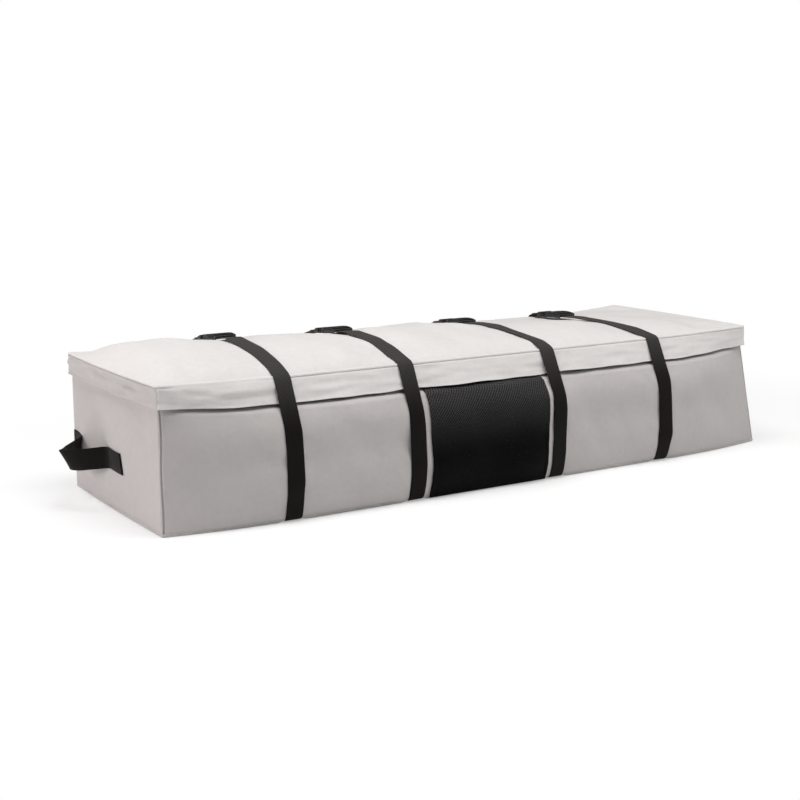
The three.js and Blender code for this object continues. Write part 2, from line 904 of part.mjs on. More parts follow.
// Points that hold a strap taut at one place across its width
const strap_clearance = webbing / 2 + webbing_clearance;
const front_free = -(male_length + buckle_travel + strap_free_run);
const back_free = female_length + strap_fold;

function at_buckle(seat, along, out) {
  return [
    seat.y + along * Math.cos(seat.tilt) - out * Math.sin(seat.tilt),
    seat.z + along * Math.sin(seat.tilt) + out * Math.cos(seat.tilt),
  ];
}

function strap_outline(seat, x) {
  const under = strap_plane - strap_clearance;
  const first = at_buckle(seat, front_free, under);
  const points = [first, at_buckle(seat, back_free, under), ...section_points(x)];
  return { hull: taut_outline(points), first };
}

// Middle line of a strap at one place across its width, as the same count of points at
// each place
function strap_line(seat, x, angles) {
  const { hull } = strap_outline(seat, x);
  const route = [at_buckle(seat, -male_bar, strap_plane), at_buckle(seat, front_free, strap_plane)];
  for (const angle of angles) {
    const direction = [Math.cos(angle), Math.sin(angle)];
    const reach = (point) => point[0] * direction[0] + point[1] * direction[1];
    const best = hull.reduce((kept, point) => (reach(point) > reach(kept) + 1e-9 ? point : kept));
    route.push([best[0] + direction[0] * strap_clearance, best[1] + direction[1] * strap_clearance]);
  }
  route.push(at_buckle(seat, back_free, strap_plane));
  // Fold round the bar of the female half, and back over the strap, where it is sewn
  const bar_front = female_length - loop_bar;
  const turn = webbing / 2 + seam_gap;
  const level = Math.abs(strap_plane) - turn;
  const fold_steps = 3;
  for (const side of [-1, 1]) {
    for (let i = 0; i <= fold_steps; i += 1) {
      const swing = (Math.PI / 2) * (i / fold_steps);
      const angle = side < 0 ? -Math.PI / 2 - swing : Math.PI - swing;
      const along = bar_front + turn * Math.cos(angle);
      route.push(at_buckle(seat, along, side * level + turn * Math.sin(angle)));
    }
  }
  const upper_plane = strap_plane + webbing + seam_gap;
  route.push(at_buckle(seat, female_length + loop_play, level + turn));
  route.push(at_buckle(seat, female_length + fold_lead, upper_plane));
  route.push(at_buckle(seat, back_free - webbing, upper_plane));
  return route;
}

// How far a corner of a strip may stand in, as a share of the webbing's thickness
const sharpest_corner = 0.6;

// A strip of webbing along a line, with its width across the line's plane
function strip(lines, place) {
  const count = lines[0].length;
  const columns = lines.length - 1;
  const middle = lines.map((line) => line.map((point, i) => {
    const before = line[Math.max(0, i - 1)];
    const after = line[Math.min(count - 1, i + 1)];
    const first = new THREE.Vector2(point[0] - before[0], point[1] - before[1]);
    const second = new THREE.Vector2(after[0] - point[0], after[1] - point[1]);
    first.normalize();
    second.normalize();
    const along = first.clone().add(second).normalize();
    const share = Math.max(sharpest_corner, along.dot(second.length() > 0 ? second : first));
    return [-along.y / share, along.x / share];
  }));
  return slab(count - 1, columns, (i, j, k) => {
    const side = (j - 0.5) * webbing;
    const [a, b] = lines[k][i];
    const [na, nb] = middle[k][i];
    return place(k / columns, a + na * side, b + nb * side);
  });
}

function strap(index) {
  const seat = buckle_seat(index);
  const left = strap_places[index] - webbing_width / 2;
  const middle = strap_outline(seat, strap_places[index]);
  const angles = facing_angles(middle.hull, middle.first);
  const lines = [];
  for (let k = 0; k <= webbing_columns; k += 1) {
    lines.push(strap_line(seat, left + (k * webbing_width) / webbing_columns, angles));
  }
  return strip(lines, (share, y, z) => [left + share * webbing_width, y, z]);
}

strap_names.forEach((name, index) => {
  add_piece(bag, `strap_${name}`, strap(index), black_webbing());
});

// End handles: webbing sewn flat to the end panel at both tabs, with a loop between them

// Share of the way from a tab to the middle of the loop, and how far out it stands there
const loop_shape = [[0.25, 0.3], [0.6, 0.72], [0.9, 0.97], [1, 1]];
const tab_steps = 3;

function handle_line(side, z) {
  const w = z / seam_z(side);
  const skin = (y) => Math.abs(bag_x(side, y / half_width, w)) + webbing_clearance + webbing / 2;
  const near = handle_middle - handle_gap / 2;
  const far = handle_middle + handle_gap / 2;
  const line = [];
  for (let i = 0; i <= tab_steps; i += 1) {
    const y = near - handle_tab + (handle_tab * i) / tab_steps;
    line.push([y, skin(y)]);
  }
  const apex = handle_middle + handle_lean;
  for (const [across, out] of loop_shape) {
    line.push([THREE.MathUtils.lerp(near, apex, across), skin(near) + out * handle_reach]);
  }
  for (const [across, out] of loop_shape.slice(0, -1).reverse()) {
    line.push([THREE.MathUtils.lerp(far, apex, across), skin(far) + out * handle_reach]);
  }
  for (let i = 0; i <= tab_steps; i += 1) {
    const y = far + (handle_tab * i) / tab_steps;
    line.push([y, skin(y)]);
  }
  return line;
}

function handle(side) {
  const low = handle_height - handle_width / 2;
  const lines = [];
  for (let k = 0; k <= webbing_columns; k += 1) {
    lines.push(handle_line(side, low + (k * handle_width) / webbing_columns));
  }
  return strip(lines, (share, y, out) => [side * out, y, low + share * handle_width]);
}

add_piece(bag, 'handle_left', handle(-1), black_webbing());
add_piece(bag, 'handle_right', handle(1), black_webbing());

export default bag;
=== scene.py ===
import json
import math
from typing import NamedTuple

import bmesh
import bpy
import numpy as np
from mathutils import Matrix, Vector, noise

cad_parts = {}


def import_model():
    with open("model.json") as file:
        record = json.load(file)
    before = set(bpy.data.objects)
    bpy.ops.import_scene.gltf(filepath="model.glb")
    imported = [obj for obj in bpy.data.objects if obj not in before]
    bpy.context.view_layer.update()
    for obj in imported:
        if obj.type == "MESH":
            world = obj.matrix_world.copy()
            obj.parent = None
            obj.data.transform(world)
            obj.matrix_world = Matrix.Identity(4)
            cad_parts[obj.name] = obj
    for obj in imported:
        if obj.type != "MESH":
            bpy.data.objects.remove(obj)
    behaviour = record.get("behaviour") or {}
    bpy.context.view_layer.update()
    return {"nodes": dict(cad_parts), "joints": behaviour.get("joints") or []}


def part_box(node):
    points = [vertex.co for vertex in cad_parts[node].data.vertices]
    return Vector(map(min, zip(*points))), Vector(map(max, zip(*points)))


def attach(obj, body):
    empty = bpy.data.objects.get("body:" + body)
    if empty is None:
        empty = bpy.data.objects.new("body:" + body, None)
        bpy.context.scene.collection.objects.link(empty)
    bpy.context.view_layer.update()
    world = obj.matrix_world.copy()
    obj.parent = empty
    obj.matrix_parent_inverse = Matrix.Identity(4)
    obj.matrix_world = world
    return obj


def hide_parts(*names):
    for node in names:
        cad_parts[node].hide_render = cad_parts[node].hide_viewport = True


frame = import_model()

# Lengths are in metres. The bag's shape repeats the solids' own rules, with cloth on top.
LENGTH = 1.340
WIDTH = 0.400
HEIGHT = 0.249
HALF_LENGTH = LENGTH / 2
HALF_WIDTH = WIDTH / 2
FABRIC = 0.002
BASE_SIDE_BOW = 0.025
TOP_SIDE_BOW = -0.038
SIDE_BULGE = 0.034
STRAIGHT_SHARE = 0.84
SIDE_FLAT_SHARE = 0.62
END_EDGE_BOW = 0.003
END_BULGE = 0.009
END_BOW_SHARE = 0.25
RIGHT_TOP_LEAN = 0.050
LEAN_SHARE = 0.5
SEAM_DIP = 0.008
CREST_HEIGHT = 0.028
CREST_FALL = 0.020
CREST_FLAT_SHARE = 0.8
CREST_PLACE = -0.25
SKIRT_STAND = 0.005
SKIRT_FLARE = 0.023
SEAM_SET_BACK = 0.0072
END_SKIRT_STAND = 0.0025
END_SKIRT_FLARE = 0.001
STRAP_NAMES = ["left_outer", "left_inner", "right_inner", "right_outer"]
WEBBING_WIDTH = 0.032
WEBBING = 0.0018
WEBBING_CLEARANCE = 0.0005
STRAP_PRESS = 0.006
STRAP_PRESS_REACH = 0.045
GROUND_CLEARANCE = 0.0002
GROOVE_RAMP = 0.012
WALL_TOP_DROP = 0.0292


def middle_x(node):
    low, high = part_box(node)
    return (low.x + high.x) / 2


STRAPS = [middle_x("strap_" + name) for name in STRAP_NAMES]


# Shape of the filled bag

def plateau(u, flat_share):
    past = np.clip((np.abs(u) - flat_share) / (1 - flat_share), 0, 1)
    return 1 - past**2


def smooth_step(t):
    s = np.clip(t, 0, 1)
    return s * s * (3 - 2 * s)


def arch(v):
    return np.maximum(0, 1 - v * v)


def lid_arch(v):
    from_crest = v - CREST_PLACE
    return arch(from_crest / (1 - np.sign(from_crest) * CREST_PLACE))


def seam_z(u):
    return HEIGHT - SEAM_DIP * plateau(u, SIDE_FLAT_SHARE)


def side_y(u, height):
    w = np.minimum(height, STRAIGHT_SHARE)
    bow = BASE_SIDE_BOW * (1 - w) + TOP_SIDE_BOW * w + SIDE_BULGE * 4 * w * (1 - w)
    return HALF_WIDTH + plateau(u, SIDE_FLAT_SHARE) * bow


def bag_x(u, v, height):
    w = np.minimum(height, STRAIGHT_SHARE)
    near_end = np.clip((np.abs(u) - 1 + END_BOW_SHARE) / END_BOW_SHARE, 0, 1)
    swell = END_EDGE_BOW * (1 - w) + END_BULGE * 4 * w * (1 - w)
    bow = swell * arch(v) * near_end**2
    lean = RIGHT_TOP_LEAN * w * smooth_step((u - 1 + LEAN_SHARE) / LEAN_SHARE) / STRAIGHT_SHARE
    return u * HALF_LENGTH + np.sign(u) * bow - lean


def bell(distance, reach):
    """1 at no distance, falling smoothly to 0 past the reach."""
    return np.exp(-((distance / reach) ** 2))


def near_straps(x, reach):
    """1 on a strap's middle line, falling to 0 beside it."""
    return sum(bell(x - place, reach) for place in STRAPS)


def lid_z(u, v):
    press = STRAP_PRESS * near_straps(bag_x(u, v, 1), STRAP_PRESS_REACH)
    crest = CREST_HEIGHT - CREST_FALL * u - press
    return seam_z(u) + crest * lid_arch(v) * plateau(u, CREST_FLAT_SHARE)


def base_z(x):
    rise = GROUND_CLEARANCE + WEBBING + WEBBING_CLEARANCE
    reach = WEBBING_WIDTH / 2 + WEBBING_CLEARANCE
    height = 0 * x
    for place in STRAPS:
        past = (np.abs(x - place) - reach) / GROOVE_RAMP
        height = np.maximum(height, rise * (1 - smooth_step(past)))
    return height


# Folds and dents of the cloth

SEED_STEP = 7.3             # how far apart the layers of noise lie that the seeds pick


def bumps(seed, a, b):
    """Smooth noise of a and b, about -0.5 to 0.5, the same at each run."""
    one = np.vectorize(lambda p, q: noise.noise(Vector((p, q, SEED_STEP * seed))))
    return one(a, b)


class Folds(NamedTuple):
    """Noise in the cloth: its depth, its seed, and its sizes along a and b."""

    depth: float
    seed: int
    size_a: float
    size_b: float

    def at(self, a, b, side=0, strength=1.0):
        return self.depth * strength * bumps(self.seed + side, a / self.size_a, b / self.size_b)


FOLD_FADE = 0.05            # folds fade out over this near corners and the ground
FOLD_TOP = 0.232            # no fold of a wall reaches above this level
FOLD_TOP_FADE = 0.03
BAY_SWELL = 0.0036
BAY_LEVEL = 0.7
BAY_REACH = 0.040
WALL_DENTS = Folds(0.0100, 1, 0.17, 0.12)
WALL_FOLDS = Folds(0.0040, 5, 0.055, 0.11)
WALL_FOLD_SLANT = 0.5
WALL_CREASES = Folds(0.0022, 7, 0.03, 0.022)
WALL_CREASE_SLANT = 0.3
WALL_CREASE_REACH = 0.070
END_DENTS = Folds(0.0090, 11, 0.15, 0.12)
END_FOLDS = Folds(0.0030, 15, 0.08, 0.05)
END_FOLD_SLANT = 0.6

# The front cloth swells out to the skirt's hem, below the reach of the pull tabs
SHOULDER = 0.0180
SHOULDER_FOOT = 0.095
SHOULDER_RISE = 0.080
SHOULDER_DROP = 0.0363
SHOULDER_TURN = 0.012
SHOULDER_FADE = 0.010
SHOULDER_FLAT_SHARE = 0.7
HEM_DIP = 0.0042
HEM_FLAT_SHARE = 0.55


def fold_levels(z):
    return smooth_step(z / FOLD_FADE) * smooth_step((FOLD_TOP - z) / FOLD_TOP_FADE)


def wall_relief(side, u, x, z):
    """How far the front or back cloth stands out from the plain wall."""
    ends = smooth_step(HALF_LENGTH * (1 - np.abs(u)) / FOLD_FADE)
    bays = BAY_SWELL * (BAY_LEVEL - near_straps(x, BAY_REACH))
    dents = WALL_DENTS.at(x, z, side)
    folds = WALL_FOLDS.at(x + WALL_FOLD_SLANT * z, z, side)
    pull = near_straps(x, WALL_CREASE_REACH)
    creases = WALL_CREASES.at(x, z + WALL_CREASE_SLANT * x, side, pull)
    relief = ends * fold_levels(z) * (bays + dents + folds + creases)
    if side < 0:
        top = seam_z(u) - SHOULDER_DROP - HEM_DIP * plateau(u, HEM_FLAT_SHARE)
        rise = smooth_step((z - SHOULDER_FOOT) / SHOULDER_RISE)
        shoulder = rise * smooth_step((top - z) / SHOULDER_TURN)
        relief = relief * smooth_step((top - z) / SHOULDER_FADE)
        relief = relief + SHOULDER * shoulder * plateau(u, SHOULDER_FLAT_SHARE)
    return relief


def end_relief(side, y, z):
    """How far the cloth of an end stands out from the plain wall."""
    ends = smooth_step((HALF_WIDTH - np.abs(y)) / FOLD_FADE)
    dents = END_DENTS.at(y, z, side)
    folds = END_FOLDS.at(y - END_FOLD_SLANT * z, z, side)
    return ends * fold_levels(z) * (dents + folds)


LID_FADE = 0.04
LID_SWELL = 0.0040
LID_SWELL_REACH = 0.070
LID_SWELL_LEFT = -0.62      # the lid swells between the straps from here
LID_SWELL_LEFT_RUN = 0.2
LID_SWELL_RIGHT = 0.1       # to here
LID_SWELL_RIGHT_RUN = 0.3
LID_HOLLOW = 0.0030         # a hollow left of the first strap, and a rise beside it
LID_HOLLOW_PLACE = -0.52
LID_HOLLOW_REACH = 0.06
LID_RISE = 0.0050
LID_RISE_PLACE = -0.625
LID_RISE_REACH = 0.03
LID_DENTS = Folds(0.0080, 21, 0.15, 0.12)
LID_FOLDS = Folds(0.0034, 25, 0.05, 0.14)
LID_CREASES = Folds(0.0020, 27, 0.025, 0.05)
LID_CREASE_REACH = 0.060


def lid_relief(u, v, x, y):
    """How far the lid stands up from its plain crown."""
    ends = smooth_step(HALF_LENGTH * (1 - np.abs(u)) / LID_FADE)
    edges = smooth_step(HALF_WIDTH * (1 - np.abs(v)) / LID_FADE)
    swell = LID_SWELL * (1 - near_straps(x, LID_SWELL_REACH))
    swell = swell * smooth_step((LID_SWELL_RIGHT - x) / LID_SWELL_RIGHT_RUN)
    swell = swell * smooth_step((x - LID_SWELL_LEFT) / LID_SWELL_LEFT_RUN)
    swell = swell - LID_HOLLOW * bell(x - LID_HOLLOW_PLACE, LID_HOLLOW_REACH)
    swell = swell + LID_RISE * bell(x - LID_RISE_PLACE, LID_RISE_REACH)
    creases = LID_CREASES.at(x, y, strength=near_straps(x, LID_CREASE_REACH))
    return ends * edges * (swell + LID_DENTS.at(x, y) + LID_FOLDS.at(x, y) + creases)


# Mesh building

TINY = 1e-9
WELD = 0.00008              # points nearer than this are one

def new_object(name, mesh):
    piece = bpy.data.objects.new(name, mesh)
    bpy.context.scene.collection.objects.link(piece)
    return piece


def mesh_of_grids(name, grids, weld=0.0):
    """A mesh of one or more grids. A grid is points (rows, columns, 3) and surface
    coordinates (rows, columns, 2) in metres. Points that meet are welded."""
    vertices = []
    faces = []
    coordinates = []
    for points, surface in grids:
        rows, columns = points.shape[:2]
        first = len(vertices)
        vertices.extend(points.reshape(-1, 3).tolist())
        corner = surface.reshape(-1, 2)
        for i in range(rows - 1):
            for k in range(columns - 1):
                a = i * columns + k
                quad = (a, a + 1, a + columns + 1, a + columns)
                faces.append([first + n for n in quad])
                coordinates.extend(corner[n] for n in quad)
    mesh = bpy.data.meshes.new(name)
    mesh.from_pydata(vertices, [], faces)
    layer = mesh.uv_layers.new(name="surface")
    layer.data.foreach_set("uv", np.array(coordinates).ravel())
    if weld > 0:
        edit = bmesh.new()
        edit.from_mesh(mesh)
        bmesh.ops.remove_doubles(edit, verts=edit.verts, dist=weld)
        bmesh.ops.recalc_face_normals(edit, faces=edit.faces)
        edit.to_mesh(mesh)
        edit.free()
    mesh.polygons.foreach_set("use_smooth", [True] * len(mesh.polygons))
    mesh.update()
    return mesh


def thicken(piece, thickness):
    """Gives a cloth surface its thickness, on its inner side."""
    solid = piece.modifiers.new("thickness", "SOLIDIFY")
    solid.thickness = thickness
    solid.offset = -1
    solid.use_even_offset = False
    return piece


def marks(length, near, coarse):
    """Distances along an edge, close together near both of its ends."""
    count = math.ceil((length - 2 * near[-1]) / coarse)
    middle = np.linspace(near[-1], length - near[-1], count + 1)
    return np.array(list(near[:-1]) + list(middle) + [length - d for d in reversed(near[:-1])])


def points_of(x, y, z):
    return np.stack(np.broadcast_arrays(x, y, z), axis=-1)


def run_along(line):
    """How far each point of a line is from its first, along the line."""
    return np.concatenate([[0], np.cumsum(np.linalg.norm(np.diff(line, axis=0), axis=1))])


def corner_scale(a, b):
    """Brings a square corner in to a round one, for depths a and b within it."""
    inside = (a > 0) & (b > 0)
    return np.where(inside, np.maximum(a, b) / np.maximum(np.hypot(a, b), TINY), 1)


# Materials

class Finish:
    """A material of the Principled shader, with its colour, roughness and bump from nodes."""

    def __init__(self, name, roughness, sheen=0.0, specular=0.4, metallic=0.0):
        self.material = bpy.data.materials.new(name)
        self.material.use_nodes = True
        self.tree = self.material.node_tree
        self.shader = self.tree.nodes["Principled BSDF"]
        self.set("Roughness", roughness)
        self.set("Specular IOR Level", specular)
        self.set("Sheen Weight", sheen)
        self.set("Sheen Roughness", 0.45)
        self.set("Metallic", metallic)

    def set(self, name, value):
        self.shader.inputs[name].default_value = value

    def node(self, kind, **settings):
        made = self.tree.nodes.new("ShaderNode" + kind)
        for name, value in settings.items():
            setattr(made, name, value)
        return made

    def join(self, source, target):
        self.tree.links.new(source, target)

    def place(self):
        """Coordinates in the bag's frame, in metres."""
        return self.node("TexCoord").outputs["Object"]

    def surface(self):
        """Coordinates on the surface of the cloth itself, in metres."""
        return self.node("UVMap", uv_map="surface").outputs["UV"]

    def by_height(self, low, high):
        """0 below low and 1 above high, in metres above the ground."""
        parts = self.node("SeparateXYZ")
        self.join(self.place(), parts.inputs[0])
        span = self.node("MapRange", interpolation_type="SMOOTHSTEP")
        span.inputs["From Min"].default_value = low
        span.inputs["From Max"].default_value = high
        self.join(parts.outputs["Z"], span.inputs["Value"])
        return span.outputs["Result"]

    def scaled(self, vector, scale):
        mapping = self.node("Mapping")
        mapping.inputs["Scale"].default_value = scale
        self.join(vector, mapping.inputs["Vector"])
        return mapping.outputs["Vector"]

    def noise(self, vector, scale, detail=2.0, roughness=0.5):
        made = self.node("TexNoise")
        made.inputs["Scale"].default_value = scale
        made.inputs["Detail"].default_value = detail
        made.inputs["Roughness"].default_value = roughness
        self.join(vector, made.inputs["Vector"])
        return made.outputs["Fac"]

    def wave(self, vector, period, direction):
        """Bands that repeat each period, in metres, or each 1.4 periods if diagonal."""
        made = self.node("TexWave", wave_type="BANDS", bands_direction=direction)
        made.inputs["Scale"].default_value = WAVE_SCALE / period
        self.join(vector, made.inputs["Vector"])
        return made.outputs["Fac"]

    def ramp(self, value, stops):
        made = self.node("ValToRGB")
        elements = made.color_ramp.elements
        while len(elements) < len(stops):
            elements.new(0.5)
        for element, (position, colour) in zip(elements, stops):
            element.position = position
            element.color = (*colour, 1)
        self.join(value, made.inputs["Fac"])
        return made.outputs["Color"]

    def maths(self, operation, a, b):
        made = self.node("Math", operation=operation)
        for index, value in enumerate((a, b)):
            if isinstance(value, (int, float)):
                made.inputs[index].default_value = value
            else:
                self.join(value, made.inputs[index])
        return made.outputs["Value"]

    def mixed(self, factor, a, b, blend="MIX"):
        made = self.node("Mix", data_type="RGBA", blend_type=blend)
        if isinstance(factor, (int, float)):
            made.inputs["Factor"].default_value = factor
        else:
            self.join(factor, made.inputs["Factor"])
        # Inputs 6 and 7 and output 2 are the node's colour sockets
        self.join(a, made.inputs[6])
        self.join(b, made.inputs[7])
        return made.outputs[2]

    def colour(self, value):
        self.join(value, self.shader.inputs["Base Color"])

    def rough(self, value):
        self.join(value, self.shader.inputs["Roughness"])

    def bump(self, height, distance, strength=1.0, below=None):
        made = self.node("Bump")
        made.inputs["Distance"].default_value = distance
        made.inputs["Strength"].default_value = strength
        self.join(height, made.inputs["Height"])
        if below is not None:
            self.join(below, made.inputs["Normal"])
        self.join(made.outputs["Normal"], self.shader.inputs["Normal"])
        return made.outputs["Normal"]


THREAD = 0.0009             # width of one yarn of the canvas
WAVE_SCALE = math.pi / 10   # a wave texture of scale s repeats each WAVE_SCALE / s


def canvas(name, light, dark):
    """Coated woven canvas: soft mottling, yarns, faint handling creases."""
    made = Finish(name, roughness=0.78, sheen=0.12, specular=0.25)
    place = made.place()
    cloudy = made.noise(place, 5.0, 3.0)
    fine = made.noise(place, 90.0, 3.0, 0.65)
    base = made.ramp(cloudy, [(0.30, dark), (0.70, light)])
    grey = made.ramp(fine, [(0.25, (0.93, 0.93, 0.93)), (0.75, (1.0, 1.0, 1.0))])
    made.colour(made.mixed(1.0, base, grey, "MULTIPLY"))
    made.rough(made.maths("ADD", made.maths("MULTIPLY", fine, 0.16), 0.68))
    yarns = made.surface()
    warp = made.wave(yarns, 2 * THREAD, "X")
    weft = made.wave(yarns, 2 * THREAD, "Y")
    weave = made.maths("MULTIPLY", warp, weft)
    creases = made.bump(made.noise(place, 34.0, 4.0, 0.6), 0.0016, 0.5)
    made.bump(weave, 0.00012, 0.6, creases)
    return made.material


RIB = 0.0017
TWILL = 0.0030
STRAP_DEEP_LEVEL = 0.16     # webbing is deep black below this level
STRAP_SHEEN_LEVEL = 0.26    # and carries a painted sheen above this one


def webbing_finish(name):
    """Black ribbed twill webbing, lightened by a painted sheen where it lies high on the bag."""
    made = Finish(name, roughness=0.66, sheen=0.08, specular=0.06)
    made.set("Sheen Tint", (1.0, 0.93, 0.88, 1))
    surface = made.surface()
    ribs = made.wave(surface, RIB, "Y")
    twill = made.wave(surface, TWILL, "DIAGONAL")
    weave = made.maths("ADD", made.maths("MULTIPLY", ribs, 0.6), made.maths("MULTIPLY", twill, 0.4))
    deep = made.ramp(weave, [(0.1, (0.0028, 0.0024, 0.0023)), (0.9, (0.0092, 0.0080, 0.0077))])
    # The upper colour is a painted sheen, for the grazing light on the webbing's top runs, not a real
    # fading of the dye.
    painted_sheen = made.ramp(weave, [(0.1, (0.0180, 0.0170, 0.0160)), (0.9, (0.0600, 0.0570, 0.0540))])
    made.colour(made.mixed(made.by_height(STRAP_DEEP_LEVEL, STRAP_SHEEN_LEVEL), deep, painted_sheen))
    made.bump(weave, 0.00030, 0.7)
    return made.material


MESH_YARN_ONE = 0.0042
MESH_YARN_TWO = 0.0030
MESH_YARN_ANGLE = 38
# The mesh shows its own black below the first level; above the second it carries a painted reflection of
# the overhead light.
MESH_DEEP_LEVEL = 0.07
MESH_REFLECTION_LEVEL = 0.215


def mesh_finish(name):
    """Coated mesh of crossing yarns, black, lightened towards its top by a painted reflection of the
    overhead light.
    """
    made = Finish(name, roughness=0.45, specular=0.04)
    turned = made.node("Mapping")
    turned.inputs["Rotation"].default_value = (0, 0, math.radians(MESH_YARN_ANGLE))
    made.join(made.surface(), turned.inputs["Vector"])
    one = made.wave(turned.outputs["Vector"], MESH_YARN_ONE, "X")
    two = made.wave(turned.outputs["Vector"], MESH_YARN_TWO, "Y")
    weave = made.maths("MULTIPLY", one, two)
    deep = made.ramp(weave, [(0.05, (0.0008, 0.0008, 0.0008)), (0.8, (0.0045, 0.0042, 0.0043))])
    # The lighter upper colour is a painted reflection, for the light that the panel's up-tilted top
    # catches, not a real tone of the mesh.
    painted_reflection = made.ramp(weave, [(0.05, (0.0180, 0.0175, 0.0180)), (0.8, (0.1050, 0.1000, 0.1050))])
    made.colour(made.mixed(made.by_height(MESH_DEEP_LEVEL, MESH_REFLECTION_LEVEL), deep, painted_reflection))
    made.bump(weave, 0.0006, 0.9)
    return made.material


def moulded(name, colour, roughness, metallic=0.0):
    """Moulded plastic or lacquered metal, with fine speckle and handling marks."""
    made = Finish(name, roughness, specular=0.5, metallic=metallic)
    place = made.place()
    speckle = made.noise(place, 900.0)
    smears = made.noise(place, 60.0, 3.0, 0.6)
    dark = tuple(0.8 * c for c in colour)
    made.colour(made.ramp(smears, [(0.3, dark), (0.7, colour)]))
    made.rough(made.maths("ADD", made.maths("MULTIPLY", smears, 0.18), roughness - 0.09))
    made.bump(speckle, 0.00005, 0.5)
    return made.material


wall_canvas = canvas("wall_canvas", light=(0.496, 0.470, 0.463), dark=(0.466, 0.444, 0.437))
lid_canvas = canvas("lid_canvas", light=(0.680, 0.659, 0.646), dark=(0.652, 0.634, 0.624))
base_canvas = canvas("base_canvas", light=(0.500, 0.480, 0.470), dark=(0.470, 0.452, 0.445))
black_webbing = webbing_finish("black_webbing")
black_mesh = mesh_finish("black_mesh")
buckle_plastic = moulded("buckle_plastic", (0.014, 0.014, 0.015), roughness=0.30)
zip_lacquer = moulded("zip_lacquer", (0.03, 0.03, 0.032), roughness=0.32, metallic=0.6)
zip_plastic = moulded("zip_plastic", (0.016, 0.016, 0.017), roughness=0.45)
zip_cloth = webbing_finish("zip_cloth")


def dress(piece, material, replaced, body="bag"):
    piece.data.materials.clear()
    piece.data.materials.append(material)
    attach(piece, body)
    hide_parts(*replaced)
    return piece


# Walls: one loft round the bag, with rounded corners and a sunk seam beside each corner

NEAR_CORNER = [0, 0.001, 0.002, 0.003, 0.004, 0.005, 0.006, 0.007, 0.008, 0.010, 0.013, 0.018, 0.025]
NEAR_BOTTOM = [0, 0.001, 0.0025, 0.0045, 0.007, 0.010]
CLOTH_STEP = 0.007
WALL_ROWS = 24
WALL_TOP_ROWS = 15          # in the top of the wall, where it turns in under the skirt
WALL_TOP_DEPTH = 0.034
CORNER_RADIUS = 0.004
SEAM_FROM_CORNER = 0.0038
SEAM_WANDER = 0.0007
SEAM_WANDER_SIZE = 0.021
SEAM_SINK = 0.0046
SEAM_REACH = 0.0011
SEAM_GAP = 0.0003
WALL_BOTTOM = 0.0044
WALL_TUCK = 0.0016
WALL_TUCK_HEIGHT = 0.006
WALL_CLOTH = 0.0016
WALL_WELD = 0.00012


def corner_shift(s, radius):
    """How a point at distance s from a corner moves along and out to round it off."""
    a = np.clip(radius - s, 0, None)
    factor = radius / np.hypot(a, radius)
    return a * (factor - 1), radius * (factor - 1)


def seam_sink(s, z):
    line = SEAM_FROM_CORNER + SEAM_WANDER * np.sin(z / SEAM_WANDER_SIZE)
    return -SEAM_SINK * bell(s - line, SEAM_REACH)


def wall_heights(bottom, top):
    height = top - bottom
    fine = height - WALL_TOP_DEPTH
    plain_rows = np.linspace(NEAR_BOTTOM[-1], fine, WALL_ROWS)[1:]
    top_rows = np.linspace(fine, height, WALL_TOP_ROWS)[1:]
    return bottom + np.concatenate([NEAR_BOTTOM, plain_rows, top_rows])


def wall_panel(kind, direction):
    """One side of the loft: positions for stations along it and rows up it. direction is the
    way along the panel that goes counterclockwise seen from above."""
    is_side = kind == "side"
    length = LENGTH if is_side else WIDTH
    side = -direction if is_side else direction
    is_back = is_side and side > 0
    s = marks(length, NEAR_CORNER, CLOTH_STEP)
    share = (-1 + 2 * s / length) * direction
    across = np.full(len(s), float(side))
    stations = list(zip(share, across) if is_side else zip(across, share))
    heights = []
    for station, (u, v) in enumerate(stations):
        # The back wall runs up to the lid, and so does the last column of each end
        reaches_lid = is_back or (not is_side and station == len(s) - 1)
        top = seam_z(u) - (SEAM_GAP if reaches_lid else WALL_TOP_DROP)
        bottom = WALL_BOTTOM + (float(base_z(bag_x(u, v, 0))) if is_side else 0)
        heights.append(wall_heights(bottom, top))
    z = np.array(heights)

    def each_row(values):
        return np.repeat(np.array(values)[:, None], z.shape[1], axis=1)

    u = each_row([station[0] for station in stations])
    v = each_row([station[1] for station in stations])
    along = each_row(s)
    near = each_row(np.minimum(s, length - s))
    w = z / seam_z(u)
    x = bag_x(u, v, w)
    y = v * side_y(u, w)
    shift_along, shift_out = corner_shift(near, CORNER_RADIUS)
    tuck = -WALL_TUCK * np.clip(1 - (z - WALL_BOTTOM) / WALL_TUCK_HEIGHT, 0, 1) ** 2
    toward = np.where(along < length / 2, -1.0, 1.0)
    if is_side:
        out = wall_relief(side, u, x, z) + seam_sink(near, z) + shift_out + tuck
        y = y + side * out
        x = x + direction * toward * shift_along
    else:
        out = end_relief(side, y, z) + shift_out + tuck
        x = x + side * out
        y = y + direction * toward * shift_along
    return points_of(x, y, z), np.stack([along, z], axis=-1)


def walls():
    sides = [("side", 1), ("end", 1), ("side", -1), ("end", -1)]
    mesh = mesh_of_grids("wall_cloth", [wall_panel(*each) for each in sides], WALL_WELD)
    return thicken(new_object("wall_cloth", mesh), WALL_CLOTH)


wall_nodes = ["front_panel", "back_panel", "left_end_panel", "right_end_panel"]
wall_cloth = dress(walls(), wall_canvas, wall_nodes)


# Base: the ground panel, its rim turned up into the bottom seam

BASE_STEP = 0.02
BASE_RIM = 0.0030
BASE_CLOTH = 0.0014
HEM_PROFILE = [(0, 0), (0, 0.0014), (-0.0006, 0.0027), (-0.0020, 0.0034), (-0.0040, 0.0036)]
CLOSED = 1e-6               # a loop whose ends are nearer than this is closed


